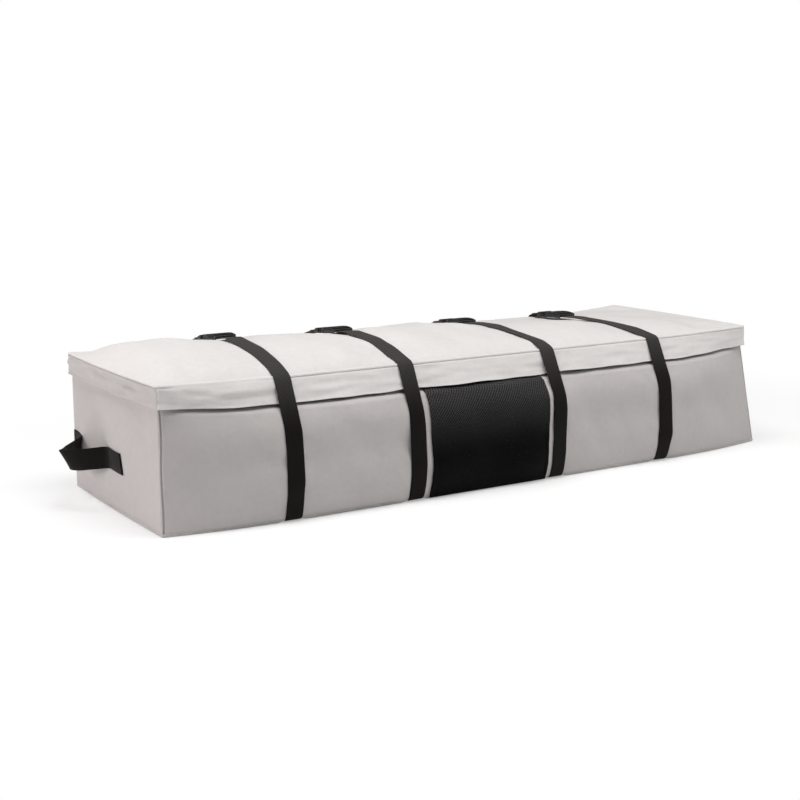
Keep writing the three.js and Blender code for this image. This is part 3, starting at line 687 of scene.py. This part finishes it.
def loop_normals(loop):
    """Directions that point out of a counterclockwise loop, in plan."""
    before = np.roll(loop, 1, axis=0)
    after = np.roll(loop, -1, axis=0)
    if np.linalg.norm(loop[0] - loop[-1]) < CLOSED:
        before[0] = loop[-2]
        after[-1] = loop[1]
    tangent = after - before
    tangent[:, 2] = 0
    tangent /= np.maximum(np.linalg.norm(tangent, axis=1, keepdims=True), TINY)
    return np.stack([tangent[:, 1], -tangent[:, 0], 0 * tangent[:, 0]], axis=-1)


def base():
    s_long = marks(LENGTH, NEAR_CORNER, CLOTH_STEP)
    s_wide = marks(WIDTH, NEAR_CORNER, BASE_STEP)
    u, v = np.meshgrid(-1 + 2 * s_long / LENGTH, -1 + 2 * s_wide / WIDTH, indexing="ij")
    x = bag_x(u, v, 0)
    y = v * side_y(u, 0)
    from_end = HALF_LENGTH * (1 - np.abs(u))
    from_side = HALF_WIDTH * (1 - np.abs(v))
    a = np.clip(CORNER_RADIUS - from_end, 0, None)
    b = np.clip(CORNER_RADIUS - from_side, 0, None)
    scale = corner_scale(a, b)
    x = x + np.sign(u) * a * (scale - 1)
    y = y + np.sign(v) * b * (scale - 1)
    turn = np.clip(1 - np.minimum(from_end, from_side) / BASE_RIM, 0, 1)
    z = base_z(x) + BASE_RIM * (1 - np.sqrt(1 - turn**2))
    ground = points_of(x, y, z)
    last_i, last_k = len(s_long) - 1, len(s_wide) - 1
    ring = [(i, 0) for i in range(last_i + 1)]
    ring += [(last_i, k) for k in range(1, last_k + 1)]
    ring += [(i, last_k) for i in range(last_i - 1, -1, -1)]
    ring += [(0, k) for k in range(last_k - 1, -1, -1)]
    loop = np.array([ground[i, k] for i, k in ring])
    outward = loop_normals(loop)
    rows = np.array([loop + out * outward + np.array([0, 0, up]) for out, up in HEM_PROFILE])
    run = run_along(loop)
    surface = np.array([np.stack([run, np.full(len(run), up)], axis=-1) for _, up in HEM_PROFILE])
    grids = [(ground, np.stack([x, y], axis=-1)), (rows, surface)]
    mesh = mesh_of_grids("base_cloth", grids, WELD)
    return thicken(new_object("base_cloth", mesh), BASE_CLOTH)


base_cloth = dress(base(), base_canvas, ["base_panel"])


# Lid: the crowned top, its sewn edge, and the skirt that hangs over the zip

FRONT_OVERHANG = SKIRT_STAND + FABRIC
END_OVERHANG = END_SKIRT_STAND + FABRIC
BACK_OVERHANG = 0.0024
LID_NEAR_EDGE = [0, 0.0008, 0.0016, 0.0024, 0.0032, 0.004, 0.005, 0.006, 0.0075, 0.010, 0.014, 0.020]
LID_RADIUS = 0.008
LID_TURN = 0.004            # the lid's edge turns down over this width
LID_TURN_DEPTH = 0.0030
LID_CLOTH = 0.0016
SET_BACK_START = 0.86
SET_BACK_RUN = 0.17
TOP_SEAM = 0.0010           # dent of the seam along the lid's edge
TOP_SEAM_PLACE = 0.008
TOP_SEAM_REACH = 0.002
SKIRT_TOP_ROWS = [0, 0.0006, 0.0012, 0.0018, 0.0026, 0.0036, 0.005]
SKIRT_HEM_ROWS = [0.0055, 0.0040, 0.0025, 0.0012, 0.0004, 0.0]
SKIRT_MIDDLE_ROWS = 9
SKIRT_DEPTH = 0.0365
SKIRT_HEM_WAVE = Folds(0.0022, 41, 0.06, 1.0)
SKIRT_SEAM = 0.0016
SKIRT_SEAM_DROP = 0.0016
SKIRT_SEAM_REACH = 0.0009
SKIRT_CREASES = Folds(0.0028, 47, 0.06, 0.010)
STRAP_HOLD_REACH = 0.060
FLARE_HELD = 0.35           # share of the flare that a strap holds in
WAVE_SEED = 43
WAVE_SIZE = 0.075
END_WAVE = 0.002
FRONT_WAVE = 0.006
WAVE_HELD = 0.8
LEFT_CREASING = 1.2         # how much deeper the creases are near the left end
LEFT_CREASING_START = 0.7
LEFT_CREASING_RUN = 0.15
ROLL_PUFF = 0.0032          # where the lid rolls softly over, from the left end
ROLL_DEPTH = 0.026
ROLL_START = 0.985
ROLL_START_RUN = 0.03
ROLL_STOP = 0.62
ROLL_STOP_RUN = 0.12
ROLL_WIDTH = 0.02
HEM_BEAD = 0.0006
HEM_BEAD_UP = 0.0010
HEM_BEAD_REACH = 0.0012
END_SKIRT_REACH = 0.060     # the skirt over an end lies this near it, as the right top edge leans in
END_SKIRT_BELOW = 0.0012


def skirt_rows(depth):
    """How far each row of the skirt hangs below its seam."""
    rows = [0 * depth + drop for drop in SKIRT_TOP_ROWS]
    high, low = SKIRT_TOP_ROWS[-1], depth - SKIRT_HEM_ROWS[0]
    for step in range(1, SKIRT_MIDDLE_ROWS):
        rows.append(high + (low - high) * step / SKIRT_MIDDLE_ROWS)
    return rows + [depth - up for up in SKIRT_HEM_ROWS]


def soft_edge(u):
    """1 where the lid rolls softly over its front edge, from the left corner to the first strap."""
    return smooth_step((ROLL_START + u) / ROLL_START_RUN) * smooth_step((-ROLL_STOP - u) / ROLL_STOP_RUN)


def lid_top(u, v):
    """The crown with its turned edge and the seam beside it."""
    x = bag_x(u, v, 1)
    set_back = np.clip((-v - SET_BACK_START) / SET_BACK_RUN, 0, 1)
    y = v * side_y(u, 1)
    y = y + SEAM_SET_BACK * plateau(u, SIDE_FLAT_SHARE) * set_back
    z = lid_z(u, v) + FABRIC + lid_relief(u, v, x, y)
    from_end = HALF_LENGTH * (1 - np.abs(u)) + END_OVERHANG
    from_front = HALF_WIDTH * (1 + v) + FRONT_OVERHANG
    from_back = HALF_WIDTH * (1 - v) + BACK_OVERHANG
    a = np.clip(LID_RADIUS - from_end, 0, None)
    b = np.clip(LID_RADIUS - from_front, 0, None)
    scale = corner_scale(a, b)
    x = x + np.sign(u) * a * (scale - 1)
    y = y - b * (scale - 1)
    edge = np.minimum(np.minimum(from_end, from_front), from_back)
    turn = np.clip(1 - edge / LID_TURN, 0, 1)
    dent = TOP_SEAM * (1 - soft_edge(u) * (from_front < ROLL_WIDTH))
    z = z - LID_TURN_DEPTH * (1 - np.sqrt(1 - turn**2)) - dent * bell(edge - TOP_SEAM_PLACE, TOP_SEAM_REACH)
    return points_of(x, y, z)


def lid_skirt(loop, share):
    """The flap that hangs from the left end, the front and the right end of the lid."""
    out = loop_normals(loop)
    out[0] = (-1, 0, 0)
    out[-1] = (1, 0, 0)
    run = run_along(loop)
    level = 0 * run
    on_front = np.abs(out[:, 1]) ** 2
    along_front = on_front * plateau(share, SIDE_FLAT_SHARE) ** 2
    held = near_straps(loop[:, 0], STRAP_HOLD_REACH) * on_front
    depth = SKIRT_DEPTH + HEM_DIP * plateau(share, HEM_FLAT_SHARE) + SKIRT_HEM_WAVE.at(run, level)
    full_flare = END_SKIRT_FLARE + (SKIRT_FLARE - END_SKIRT_FLARE) * along_front * (1 - FLARE_HELD * held)
    wave = bumps(WAVE_SEED, run / WAVE_SIZE, level) * (END_WAVE + FRONT_WAVE * along_front)
    wave = wave * (1 - WAVE_HELD * held)
    soft = soft_edge(share) * on_front
    left = 1 + LEFT_CREASING * smooth_step((-share - LEFT_CREASING_START) / LEFT_CREASING_RUN)
    lines = []
    surface = []
    for down in skirt_rows(depth):
        part = down / depth
        seam = -SKIRT_SEAM * (1 - soft) * bell(down - SKIRT_SEAM_DROP, SKIRT_SEAM_REACH)
        seam = seam + ROLL_PUFF * soft * np.sin(math.pi * np.clip(down / ROLL_DEPTH, 0, 1))
        flare = full_flare * part + wave * smooth_step(part) * part
        creases = SKIRT_CREASES.at(run, down) * np.sin(math.pi * np.clip(part, 0, 1)) * left
        hem = HEM_BEAD * bell(depth - down - HEM_BEAD_UP, HEM_BEAD_REACH)
        offset = seam + flare + creases + hem
        lines.append(loop + out * offset[:, None] - np.stack([level, level, down], axis=-1))
        surface.append(np.stack([run, down], axis=-1))
    return np.array(lines), np.array(surface)


def lid():
    s_long = marks(LENGTH + 2 * END_OVERHANG, LID_NEAR_EDGE, CLOTH_STEP)
    s_wide = marks(WIDTH + FRONT_OVERHANG + BACK_OVERHANG, LID_NEAR_EDGE, CLOTH_STEP)
    u_line = (s_long - END_OVERHANG - HALF_LENGTH) / HALF_LENGTH
    v_line = (s_wide - FRONT_OVERHANG - HALF_WIDTH) / HALF_WIDTH
    u, v = np.meshgrid(u_line, v_line, indexing="ij")
    top = lid_top(u, v)
    columns = len(v_line)
    ring = [(0, k) for k in range(columns - 1, -1, -1)]
    ring += [(i, 0) for i in range(1, len(u_line))]
    ring += [(len(u_line) - 1, k) for k in range(1, columns)]
    loop = np.array([top[i, k] for i, k in ring])
    share = np.array([u_line[i] for i, _ in ring])
    mesh = mesh_of_grids("lid_cloth", [(top, top[..., :2]), lid_skirt(loop, share)], WELD)
    return thicken(new_object("lid_cloth", mesh), LID_CLOTH)


def painted_shade_on_end_skirt(face):
    """Whether a face of the lid is part of the skirt over an end, which takes the walls' darker colour as
    painted shade.
    """
    faces_out = abs(face.normal.x) > abs(face.normal.y)
    near_end = abs(face.center.x) > HALF_LENGTH - END_SKIRT_REACH
    return faces_out and near_end and face.center.z < HEIGHT - END_SKIRT_BELOW


lid_cloth = dress(lid(), lid_canvas, ["lid_top_panel", "lid_skirt"])
# The skirt is one band of cloth; its faces over the ends take the walls' darker colour as painted shade,
# for the lesser light that reaches them, while the rest of the band keeps the lid's colour.
lid_cloth.data.materials.append(wall_canvas)
for face in lid_cloth.data.polygons:
    face.material_index = int(painted_shade_on_end_skirt(face))


# Dark woven panel on the front, its lower edge caught in the bottom seam

MESH_TURN = 0.0030          # the panel's lower edge reaches this much below its solid's
MESH_NEAR_EDGE = [0, 0.0006, 0.0012, 0.003, 0.0055, 0.0062, 0.0070, 0.009]
MESH_COLUMN = 0.006
MESH_ROW = 0.0028
MESH_STAND = 0.0016
MESH_CLOTH = 0.0010
MESH_HEM = 0.0007
MESH_HEM_WIDTH = 0.0055
MESH_HEM_FADE = 0.0015
MESH_EDGE = 0.0008
MESH_EDGE_WIDTH = 0.0012
MESH_SLACK = Folds(0.0016, 61, 0.09, 0.05)
MESH_SLACK_FADE = 0.03
MESH_SLACK_LOW = -0.0006


def front_mesh():
    low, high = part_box("front_mesh_panel")
    s_wide = marks(high.x - low.x, MESH_NEAR_EDGE, MESH_COLUMN)
    bottom = low.z - MESH_TURN
    s_high = marks(high.z - bottom, MESH_NEAR_EDGE, MESH_ROW)
    x, z = np.meshgrid(low.x + s_wide, bottom + s_high, indexing="ij")
    u = x / HALF_LENGTH
    from_edge = np.minimum(x - low.x, high.x - x)
    hem = MESH_HEM * (1 - smooth_step((from_edge - MESH_HEM_WIDTH) / MESH_HEM_FADE))
    round_off = MESH_EDGE * (1 - smooth_step(from_edge / MESH_EDGE_WIDTH))
    slack = MESH_SLACK.at(x, z) * smooth_step(from_edge / MESH_SLACK_FADE)
    out = wall_relief(-1, u, x, z) + MESH_STAND + hem - round_off + np.maximum(slack, MESH_SLACK_LOW)
    y = -(side_y(u, z / seam_z(u)) + out)
    mesh = mesh_of_grids("front_mesh", [(points_of(x, y, z), np.stack([x, z], axis=-1))])
    return thicken(new_object("front_mesh", mesh), MESH_CLOTH)


dress(front_mesh(), black_mesh, ["front_mesh_panel"])


# Straps: each follows the cloth as a taut band does

BUCKLE_HALF_HEIGHT = 0.0055
STRAP_PLANE = -BUCKLE_HALF_HEIGHT + WEBBING_CLEARANCE + FABRIC / 2 + WEBBING / 2
MALE_LENGTH = 0.037
TRAVEL = 0.025
FREE_RUN = 0.004
FRONT_FREE = -(MALE_LENGTH + TRAVEL + FREE_RUN)
FEMALE_LENGTH = 0.042
LOOP_BAR = 0.0044
STRAP_FOLD = 0.026
STRAP_END = -0.004          # the strap ends under the male half, just before the female half
STRAP_START = -0.008
STRAP_CLOUD_REACH = 0.012
STRAP_STEP = 0.004
STRAP_UNDER_STEP = 0.005
STRAP_CLEARANCE = 0.0004
STRAP_PASSES = 3
FOLD_CLEARANCE = 0.0003
FOLD_LEAD = 0.006
FOLD_POINTS = 6
LAP_GAP = 0.0002
LAP_START = 0.001
LAP_FALL = 0.006
LAP_FALL_SHARE = 0.4
LAP_FLAT = 0.012
LAP_SHORT = 0.002


def turned_in(points, angle):
    """Points in the plane across the bag, turned by an angle."""
    c, s = math.cos(angle), math.sin(angle)
    return np.stack([points[:, 0] * c - points[:, 1] * s, points[:, 0] * s + points[:, 1] * c], axis=-1)


def buckle_seat(name):
    """Place and tilt of a buckle, from its release direction and its female half."""
    joint = next(j for j in frame["joints"] if j["name"] == f"buckle_{name}_release")
    axis = joint["axis"]
    tilt = math.atan2(-axis[2], -axis[1])
    female = frame["nodes"]["buckle_female_" + name]
    flat = turned_in(np.array([v.co[1:] for v in female.data.vertices]), -tilt)
    low = flat.min(axis=0)
    return {"tilt": tilt, "origin": np.array([low[0], low[1] + BUCKLE_HALF_HEIGHT])}


def at_buckle(seat, along, out):
    """Place (y, z) of a point given along a buckle and out from it."""
    point = seat["origin"] + np.array([along, out])
    return turned_in(point[None, :], seat["tilt"])[0]


def cloud(piece, x, reach):
    """Places (y, z) of a piece's points near x."""
    count = len(piece.data.vertices)
    flat = np.zeros(count * 3)
    piece.data.vertices.foreach_get("co", flat)
    points = flat.reshape(-1, 3)
    return points[np.abs(points[:, 0] - x) < reach][:, 1:]


def taut_outline(points):
    """Convex outline, counterclockwise, from its lowest left point."""
    order = sorted(map(tuple, np.round(points, 6)))

    def chain(each):
        kept = []
        for p in each:
            while len(kept) > 1:
                (ax, ay), (bx, by) = kept[-2], kept[-1]
                if (bx - ax) * (p[1] - ay) - (by - ay) * (p[0] - ax) > 0:
                    break
                kept.pop()
            kept.append(p)
        return kept[:-1]

    return np.array(chain(order) + chain(order[::-1]))


def resample(line, step):
    """The same line with points a step apart."""
    run = run_along(line)
    count = max(2, round(run[-1] / step) + 1)
    at = np.linspace(0, run[-1], count)
    return np.stack([np.interp(at, run, line[:, n]) for n in range(line.shape[1])], axis=-1)


def even_count(line, count):
    """The same line with a given count of points, spread as its own are."""
    old = np.linspace(0, 1, len(line))
    new = np.linspace(0, 1, count)
    return np.stack([np.interp(new, old, line[:, n]) for n in range(line.shape[1])], axis=-1)


def softened(line, passes):
    """Rounds off a line's corners, and keeps its two ends."""
    line = line.copy()
    for _ in range(passes):
        line[1:-1] = 0.25 * line[:-2] + 0.5 * line[1:-1] + 0.25 * line[2:]
    return line


def side_normals(line):
    """Left-hand normals of a line in its plane."""
    tangent = np.gradient(line, axis=0)
    tangent /= np.linalg.norm(tangent, axis=1, keepdims=True)
    return np.stack([-tangent[:, 1], tangent[:, 0]], axis=-1)


def strap_line(seat, x):
    """Middle line (y, z) of a strap, from under its male half round to its female half."""
    cloths = (wall_cloth, lid_cloth, base_cloth)
    points = np.concatenate([cloud(piece, x, STRAP_CLOUD_REACH) for piece in cloths])
    first = at_buckle(seat, FRONT_FREE, STRAP_PLANE - WEBBING / 2)
    last = at_buckle(seat, FEMALE_LENGTH + STRAP_FOLD, STRAP_PLANE - WEBBING / 2)
    points = np.concatenate([points, [first, last]])
    hull = taut_outline(points)
    start = np.argmin(np.linalg.norm(hull - first, axis=1))
    hull = np.roll(hull, -start, axis=0)
    stop = np.argmin(np.linalg.norm(hull - last, axis=1))
    route = softened(resample(hull[: stop + 1], STRAP_STEP), STRAP_PASSES)
    route = route - side_normals(route) * (WEBBING / 2 + STRAP_CLEARANCE)
    route[0] = at_buckle(seat, FRONT_FREE, STRAP_PLANE)
    route[-1] = at_buckle(seat, FEMALE_LENGTH + STRAP_FOLD, STRAP_PLANE)
    return route


def fold_line(seat):
    """The strap's end, folded round the bar of the female half and sewn to itself."""
    bar = FEMALE_LENGTH - LOOP_BAR
    turn = WEBBING / 2 + FOLD_CLEARANCE
    level = abs(STRAP_PLANE) - turn
    places = [(bar + FOLD_LEAD, STRAP_PLANE)]
    for side in (-1, 1):
        for i in range(FOLD_POINTS):
            swing = math.pi / 2 * i / (FOLD_POINTS - 1)
            angle = -math.pi / 2 - swing if side < 0 else math.pi - swing
            places.append((bar + turn * math.cos(angle), side * level + turn * math.sin(angle)))
    upper = STRAP_PLANE + WEBBING + LAP_GAP
    places.append((FEMALE_LENGTH + LAP_START, level + turn))
    places.append((FEMALE_LENGTH + LAP_FALL, LAP_FALL_SHARE * level + (1 - LAP_FALL_SHARE) * upper))
    places.append((FEMALE_LENGTH + LAP_FLAT, upper))
    places.append((FEMALE_LENGTH + STRAP_FOLD - LAP_SHORT, upper))
    return np.array([at_buckle(seat, along, out) for along, out in places])


ACROSS = [-1, -0.97, -0.9, -0.5, 0, 0.5, 0.9, 0.97, 1]
EDGE_THIN = [0.35, 0.75, 1, 1, 1, 1, 1, 0.75, 0.35]
STRIP_WELD = 0.00005


def strip(name, middle, normals, sideways, width, thickness):
    """A closed strip of webbing with soft edges. middle holds the points of its middle
    line, normals its faces' directions and sideways its width's direction, per point."""
    run = run_along(middle)
    ring = []
    surface = []
    shares = [(a, thin, 1) for a, thin in zip(ACROSS, EDGE_THIN)]
    shares += [(a, thin, -1) for a, thin in reversed(list(zip(ACROSS, EDGE_THIN)))]
    shares.append(shares[0])
    for share, thin, face in shares:
        offset = sideways * (share * width / 2) + normals * (face * thin * thickness / 2)
        ring.append(middle + offset)
        surface.append(np.stack([np.full(len(run), share * width / 2), run], axis=-1))
    grids = [(np.array(ring).transpose(1, 0, 2), np.array(surface).transpose(1, 0, 2))]
    for end in (0, -1):
        half = len(ACROSS)
        upper = grids[0][0][end, :half]
        lower = grids[0][0][end, half : 2 * half][::-1]
        cap = np.array([upper, lower])
        flat = np.array([grids[0][1][end, :half], grids[0][1][end, :half]])
        grids.append((cap, flat))
    return new_object(name, mesh_of_grids(name, grids, STRIP_WELD))


def strap(name, x):
    seat = buckle_seat(name)
    fold = fold_line(seat)
    under_male = np.array([
        at_buckle(seat, STRAP_START, STRAP_PLANE),
        at_buckle(seat, FRONT_FREE + FREE_RUN, STRAP_PLANE),
    ])
    start = [at_buckle(seat, STRAP_END, STRAP_PLANE), *resample(under_male, STRAP_UNDER_STEP)]
    routes = []
    for side in (-1, 1):
        routes.append(np.concatenate([start, strap_line(seat, x + side * WEBBING_WIDTH / 4)]))
    count = max(len(route) for route in routes)
    edges = [np.concatenate([even_count(route, count), fold]) for route in routes]
    middle_line = 0.5 * (edges[0] + edges[1])
    slope = (edges[1] - edges[0]) / (WEBBING_WIDTH / 2)
    normals = -side_normals(middle_line)
    middle = points_of(x, middle_line[:, 0], middle_line[:, 1])
    sideways = points_of(1.0, slope[:, 0], slope[:, 1])
    faces = points_of(0.0, normals[:, 0], normals[:, 1])
    return strip("webbing_" + name, middle, faces, sideways, WEBBING_WIDTH, WEBBING)


for strap_name, strap_x in zip(STRAP_NAMES, STRAPS):
    dress(strap(strap_name, strap_x), black_webbing, ["strap_" + strap_name])


# Handles: webbing sewn flat to each end, with a loop between the two tabs

HANDLE_WIDTH = 0.038
HANDLE_MIDDLE = 0.068
HANDLE_GAP = 0.145
HANDLE_TAB = 0.052
FRONT_TAB_EXTRA = 0.009
HANDLE_REACH = 0.056
HANDLE_LEAN = -0.008
HANDLE_SLANT = 0.55
HANDLE_DROP = 0.003
HANDLE_TILT = 0.008
HANDLE_SAG = 0.009
TAB_POINTS = 12
TAB_END = 0.002
HANDLE_STEP = 0.003
HANDLE_PASSES = 3
LOOP_SHAPE = [(0.0, 0.0), (0.08, 0.06), (0.25, 0.30), (0.6, 0.72), (0.9, 0.97), (1.0, 1.0)]


def handle_line(side, height, reach):
    """Middle line of a handle at one height, as (y, distance out)."""
    def skin(y):
        w = height / seam_z(float(side))
        plain = abs(float(bag_x(float(side), y / HALF_WIDTH, w)))
        relief = float(end_relief(side, np.array(y), np.array(height)))
        return plain + relief + WEBBING_CLEARANCE + WEBBING / 2

    near = HANDLE_MIDDLE - HANDLE_GAP / 2
    far = HANDLE_MIDDLE + HANDLE_GAP / 2
    apex = HANDLE_MIDDLE + HANDLE_LEAN
    front_tab = np.linspace(near - HANDLE_TAB - FRONT_TAB_EXTRA, near - TAB_END, TAB_POINTS)
    back_tab = np.linspace(far + TAB_END, far + HANDLE_TAB, TAB_POINTS)
    line = [(y, skin(y)) for y in front_tab]
    for share, out in LOOP_SHAPE[1:]:
        line.append((near + (apex - near) * share, skin(near) + out * reach))
    for share, out in LOOP_SHAPE[-2:0:-1]:
        line.append((far + (apex - far) * share, skin(far) + out * reach))
    line += [(y, skin(y)) for y in back_tab]
    return softened(resample(np.array(line), HANDLE_STEP), HANDLE_PASSES)


def handle(name, side):
    low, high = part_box(name)
    middle_z = (low.z + high.z) / 2
    # The loop hangs slanted: its upper edge stands further out
    step = HANDLE_WIDTH / 4
    lower = handle_line(side, middle_z - step, HANDLE_REACH - HANDLE_SLANT * step)
    upper = handle_line(side, middle_z + step, HANDLE_REACH + HANDLE_SLANT * step)
    upper = even_count(upper, len(lower))
    flat = 0.5 * (lower + upper)
    slope = (upper - lower) / (2 * step)
    normals = side_normals(flat)
    # The back tab is sewn a little lower, and the loop sags
    back = smooth_step((flat[:, 0] - HANDLE_MIDDLE + HANDLE_GAP / 2) / HANDLE_GAP)
    out = np.clip((flat[:, 1] - flat[:, 1].min()) / HANDLE_REACH, 0, 1)
    level = middle_z - HANDLE_DROP - HANDLE_TILT * back - HANDLE_SAG * out
    middle = points_of(side * flat[:, 1], flat[:, 0], level)
    sideways = points_of(side * slope[:, 1], slope[:, 0], 1.0)
    faces = points_of(side * normals[:, 1], normals[:, 0], 0.0)
    return strip(name + "_webbing", middle, faces, sideways, HANDLE_WIDTH, WEBBING)


for handle_name, handle_side in (("handle_left", -1), ("handle_right", 1)):
    dress(handle(handle_name, handle_side), black_webbing, [handle_name])


# Rigid pieces keep their solids' form, with their sharp edges softened

SAME_POINT = 0.00001
FLAT_ANGLE = 1
SHARP_ANGLE = 32
FEMALE_EDGE = 0.0005
MALE_EDGE = 0.0004
ZIP_EDGE = 0.00015


def refined(node, width):
    """A copy of a solid with its edges rounded to a width."""
    source = frame["nodes"][node]
    piece = new_object(node + "_shape", source.data.copy())
    edit = bmesh.new()
    edit.from_mesh(piece.data)
    bmesh.ops.remove_doubles(edit, verts=edit.verts, dist=SAME_POINT)
    flat = math.radians(FLAT_ANGLE)
    bmesh.ops.dissolve_limit(edit, angle_limit=flat, verts=edit.verts, edges=edit.edges)
    bmesh.ops.recalc_face_normals(edit, faces=edit.faces)
    edit.to_mesh(piece.data)
    edit.free()
    piece.data.polygons.foreach_set("use_smooth", [True] * len(piece.data.polygons))
    soft = piece.modifiers.new("edges", "BEVEL")
    soft.width = width
    soft.segments = 2
    soft.limit_method = "ANGLE"
    soft.angle_limit = math.radians(SHARP_ANGLE)
    soft.harden_normals = True
    return piece


for strap_name in STRAP_NAMES:
    female = "buckle_female_" + strap_name
    male = "buckle_male_" + strap_name
    dress(refined(female, FEMALE_EDGE), buckle_plastic, [female])
    dress(refined(male, MALE_EDGE), buckle_plastic, [male], "male_" + strap_name)

for zip_side in ("left", "right"):
    slider = "zip_slider_" + zip_side
    pull = "zip_pull_" + zip_side
    dress(refined(slider, ZIP_EDGE), zip_lacquer, [slider], "slider_" + zip_side)
    dress(refined(pull, ZIP_EDGE), zip_lacquer, [pull], "pull_" + zip_side)

for node, finish in (
    ("zip_tape_lower", zip_cloth),
    ("zip_tape_upper", zip_cloth),
    ("zip_teeth_lower", zip_plastic),
    ("zip_teeth_upper", zip_plastic),
):
    for index in range(len(frame["nodes"][node].material_slots)):
        frame["nodes"][node].material_slots[index].material = finish


# Floor, light and camera

FLOOR_HALF = 20
# The floor lies a hair under the base cloth, which is 0.1 mm proud of its solid
FLOOR_LEVEL = -0.0002
FLOOR_SPREAD = (0.8, 1.25, 1)
FLOOR_WHITE_START = 0.35    # the floor turns to plain white between these distances
FLOOR_WHITE_END = 1.25
FLOOR_LEAST_WHITE = 0.35


def floor_finish():
    """Near white, and plain white far out, so that it meets the background."""
    made = Finish("floor", roughness=0.9, specular=0.1)
    made.set("Base Color", (0.92, 0.92, 0.92, 1))
    out = made.tree.nodes["Material Output"]
    distance = made.node("VectorMath", operation="LENGTH")
    made.join(made.scaled(made.place(), FLOOR_SPREAD), distance.inputs[0])
    span = made.node("MapRange", interpolation_type="SMOOTHSTEP")
    span.inputs["From Min"].default_value = FLOOR_WHITE_START
    span.inputs["From Max"].default_value = FLOOR_WHITE_END
    span.inputs["To Min"].default_value = FLOOR_LEAST_WHITE
    made.join(distance.outputs["Value"], span.inputs["Value"])
    white = made.node("Emission")
    white.inputs["Strength"].default_value = 1.0
    seen = made.node("LightPath")
    factor = made.maths("MULTIPLY", span.outputs["Result"], seen.outputs["Is Camera Ray"])
    mix = made.node("MixShader")
    made.join(factor, mix.inputs[0])
    made.join(made.shader.outputs["BSDF"], mix.inputs[1])
    made.join(white.outputs["Emission"], mix.inputs[2])
    made.join(mix.outputs["Shader"], out.inputs["Surface"])
    return made.material


def floor():
    mesh = bpy.data.meshes.new("floor")
    signs = [(-1, -1), (1, -1), (1, 1), (-1, 1)]
    corners = [(a * FLOOR_HALF, b * FLOOR_HALF, FLOOR_LEVEL) for a, b in signs]
    mesh.from_pydata(corners, [], [(0, 1, 2, 3)])
    piece = new_object("floor", mesh)
    piece.data.materials.append(floor_finish())


def area_light(name, place, aim, size, power, colour):
    data = bpy.data.lights.new(name, "AREA")
    data.shape = "RECTANGLE"
    data.size, data.size_y = size
    data.energy = power
    data.color = colour
    lamp = bpy.data.objects.new(name, data)
    bpy.context.scene.collection.objects.link(lamp)
    lamp.location = place
    lamp.rotation_euler = (Vector(aim) - Vector(place)).to_track_quat("-Z", "Y").to_euler()


WORLD_COLOUR = (0.97, 0.98, 1.0, 1)
WORLD_STRENGTH = 0.19


def world():
    """Faint even light, seen as plain white by the camera."""
    made = bpy.data.worlds.new("studio")
    made.use_nodes = True
    bpy.context.scene.world = made
    tree = made.node_tree
    soft = tree.nodes["Background"]
    soft.inputs["Color"].default_value = WORLD_COLOUR
    soft.inputs["Strength"].default_value = WORLD_STRENGTH
    white = tree.nodes.new("ShaderNodeBackground")
    white.inputs["Color"].default_value = (1, 1, 1, 1)
    white.inputs["Strength"].default_value = 1.0
    seen = tree.nodes.new("ShaderNodeLightPath")
    mix = tree.nodes.new("ShaderNodeMixShader")
    tree.links.new(seen.outputs["Is Camera Ray"], mix.inputs[0])
    tree.links.new(soft.outputs["Background"], mix.inputs[1])
    tree.links.new(white.outputs["Background"], mix.inputs[2])
    tree.links.new(mix.outputs["Shader"], tree.nodes["World Output"].inputs["Surface"])


CAMERA_PLACE = (-1.506, -2.237, 0.648)
CAMERA_YAW = 32.36
CAMERA_PITCH = 10.98
CAMERA_LENS = 62.84
CAMERA_SENSOR = 36


def camera():
    data = bpy.data.cameras.new("camera")
    data.lens = CAMERA_LENS
    data.sensor_width = CAMERA_SENSOR
    piece = bpy.data.objects.new("camera", data)
    bpy.context.scene.collection.objects.link(piece)
    piece.location = CAMERA_PLACE
    piece.rotation_euler = (math.radians(90 - CAMERA_PITCH), 0, math.radians(-CAMERA_YAW))
    bpy.context.scene.camera = piece


floor()
world()
area_light(
    "overhead",
    place=(-0.3, -0.45, 2.7),
    aim=(0, 0, 0.2),
    size=(3.0, 1.3),
    power=80,
    colour=(1.0, 0.99, 0.98),
)
area_light(
    "left_fill",
    place=(-2.8, 0.3, 0.75),
    aim=(-0.4, 0, 0.15),
    size=(1.6, 1.0),
    power=28,
    colour=(1.0, 0.94, 0.935),
)
area_light(
    "right_fill",
    place=(1.9, -1.5, 1.2),
    aim=(0.45, -0.2, 0.15),
    size=(1.2, 0.8),
    power=10.5,
    colour=(1.0, 0.985, 0.975),
)
camera()

view = bpy.context.scene.view_settings
view.view_transform = "Standard"
